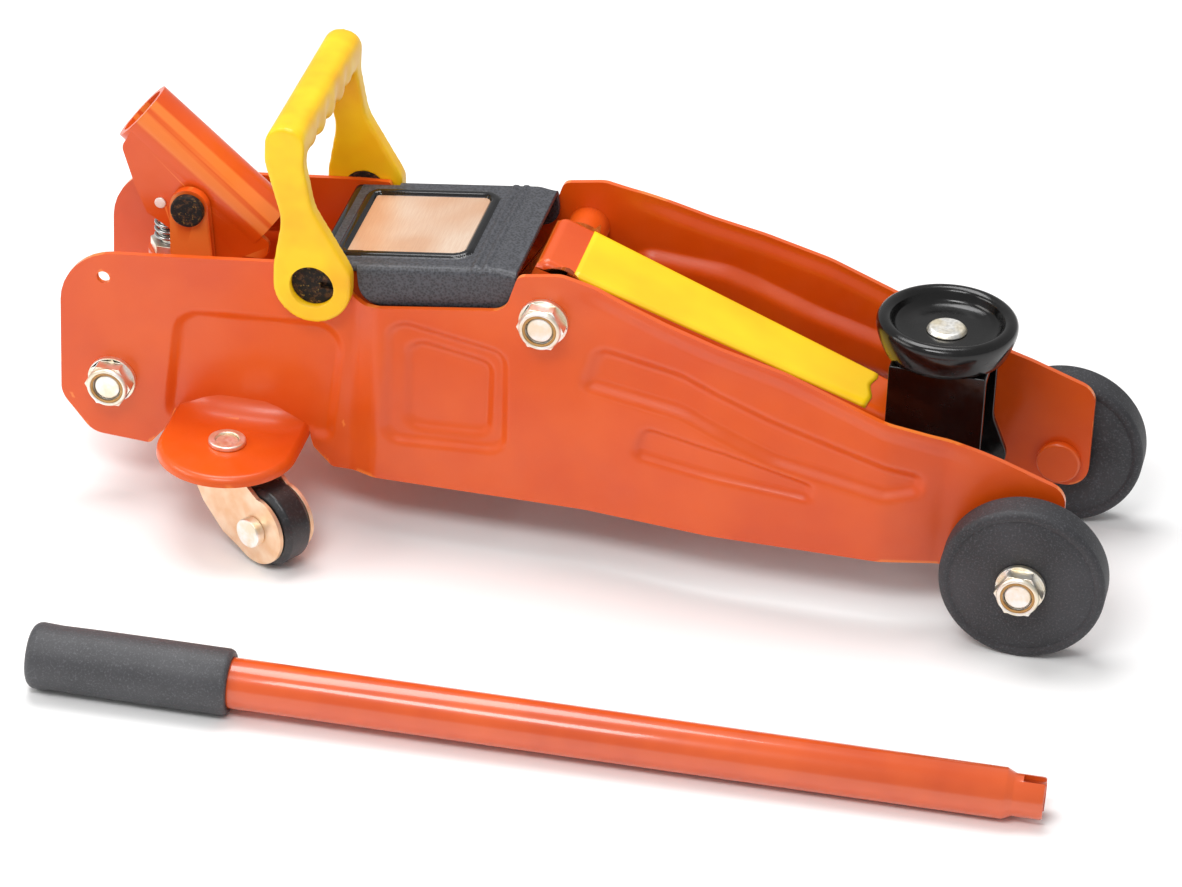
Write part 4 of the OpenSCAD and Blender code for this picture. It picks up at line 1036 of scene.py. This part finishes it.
tube = [
    (TIP_R - 2, 3.98), (TUBE_R - 0.02, 3.98), (TUBE_R - 0.02, GRIP_L), (TUBE_R, GRIP_L + 0.2),
    (TUBE_R, BAR_L - 16), (TUBE_R - 0.5, BAR_L - 15), (TIP_R + 0.3, BAR_L - 12.8), (TIP_R, BAR_L - 12),
    (TIP_R, BAR_L - 0.8),
    (TIP_R - 0.5, BAR_L), (TIP_R - 1.6, BAR_L), (TIP_R - 2, BAR_L - 0.6), (TIP_R - 2, 3.98),
]
bar = lathe("bar_tube_lacquered", tube, BAR_END, bar_axis, LACQUER, 96)
across = bar_axis.cross(Vector((0, 0, 1))).normalized()
over = across.cross(bar_axis)
near = Vector(BAR_END) + bar_axis * (BAR_L - 9)
corners = [
    tuple(near + bar_axis * (12 * i) + across * (5 * j - 2.5) + over * (40 * k - 20))
    for i in (0, 1) for j in (0, 1) for k in (0, 1)
]
slot_box = piece("tip_slot", corners, [
    (0, 1, 3, 2), (4, 6, 7, 5), (0, 4, 5, 1), (2, 3, 7, 6), (0, 2, 6, 4), (1, 5, 7, 3)], LACQUER)
modify(bar, "BOOLEAN", object=slot_box, operation="DIFFERENCE", solver="EXACT")
settle(bar)
bpy.data.objects.remove(slot_box)
modify(bar, "EDGE_SPLIT", split_angle=math.radians(40))
for part, slot, node in ((grip, "grip_rubber", "bar_grip"), (bar, "orange_lacquer", "bar_tube")):
    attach(part, "pump_bar")
    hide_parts(node)

# --- Floor, light and camera ---
# A pale matt studio floor that runs out of sight, a wide soft light overhead, a warmer one from the
# rear left and a smaller one high in front.


def sweep_floor():
    """Matt white paper: it takes a soft shadow and shows no highlight."""
    paper = new_material("studio_floor")[0]
    surface(paper, {"Base Color": "#FAFAFA", "Roughness": 0.9, "Specular IOR Level": 0.1})
    mesh = bpy.data.meshes.new("studio_floor")
    mesh.from_pydata([(-9, -9, 0), (9, -9, 0), (9, 9, 0), (-9, 9, 0)], [], [(0, 1, 2, 3)])
    mesh.materials.append(paper)
    floor = bpy.data.objects.new("studio_floor", mesh)
    bpy.context.scene.collection.objects.link(floor)


def soft_light(name, at, aim, size, watts, colour):
    data = bpy.data.lights.new(name, "AREA")
    data.shape, data.size, data.size_y = "RECTANGLE", size[0], size[1]
    data.energy, data.color = watts, colour
    lamp = bpy.data.objects.new(name, data)
    lamp.location = at
    lamp.rotation_mode = "QUATERNION"
    lamp.rotation_quaternion = (Vector(at) - Vector(aim)).to_track_quat("Z", "Y")
    bpy.context.scene.collection.objects.link(lamp)


sweep_floor()
world = bpy.data.worlds.new("studio")
world.use_nodes = True
world.node_tree.nodes["Background"].inputs["Color"].default_value = (1, 1, 1, 1)
world.node_tree.nodes["Background"].inputs["Strength"].default_value = 0.45
bpy.context.scene.world = world
soft_light("overhead", (-0.25, 0.3, 1.4), (0, 0, 0), (1.0, 0.7), 14, (1, 1, 1))
soft_light("rear_left", (-1.3, -0.5, 0.9), (0, 0, 0.06), (0.9, 0.5), 6, (1, 0.98, 0.95))
soft_light("upper_front", (-0.1, -1.0, 1.35), (0, 0, 0.06), (0.7, 0.4), 9.5, (1, 1, 1))

azimuth, elevation, roll, distance = math.radians(11.38), math.radians(31.01), math.radians(2.62), 2.41862
flatness = math.cos(elevation)
back = Vector((math.sin(azimuth) * flatness, -math.cos(azimuth) * flatness, math.sin(elevation)))
right = Vector((math.cos(azimuth), math.sin(azimuth), 0))
upward = back.cross(right)
level = right * math.cos(roll) + upward * math.sin(roll)
raised = upward * math.cos(roll) - right * math.sin(roll)
lens = bpy.data.cameras.new("camera")
lens.lens, lens.sensor_width, lens.sensor_fit = 171.75, 36, "HORIZONTAL"
lens.clip_start, lens.clip_end = 0.1, 40
camera = bpy.data.objects.new("camera", lens)
camera.rotation_mode = "QUATERNION"
camera.rotation_quaternion = Matrix((level, raised, back)).transposed().to_quaternion()
camera.location = place(-196.66, 0, 33.43) + back * distance
bpy.context.scene.collection.objects.link(camera)
bpy.context.scene.camera = camera
bpy.context.scene.view_settings.view_transform = "Standard"
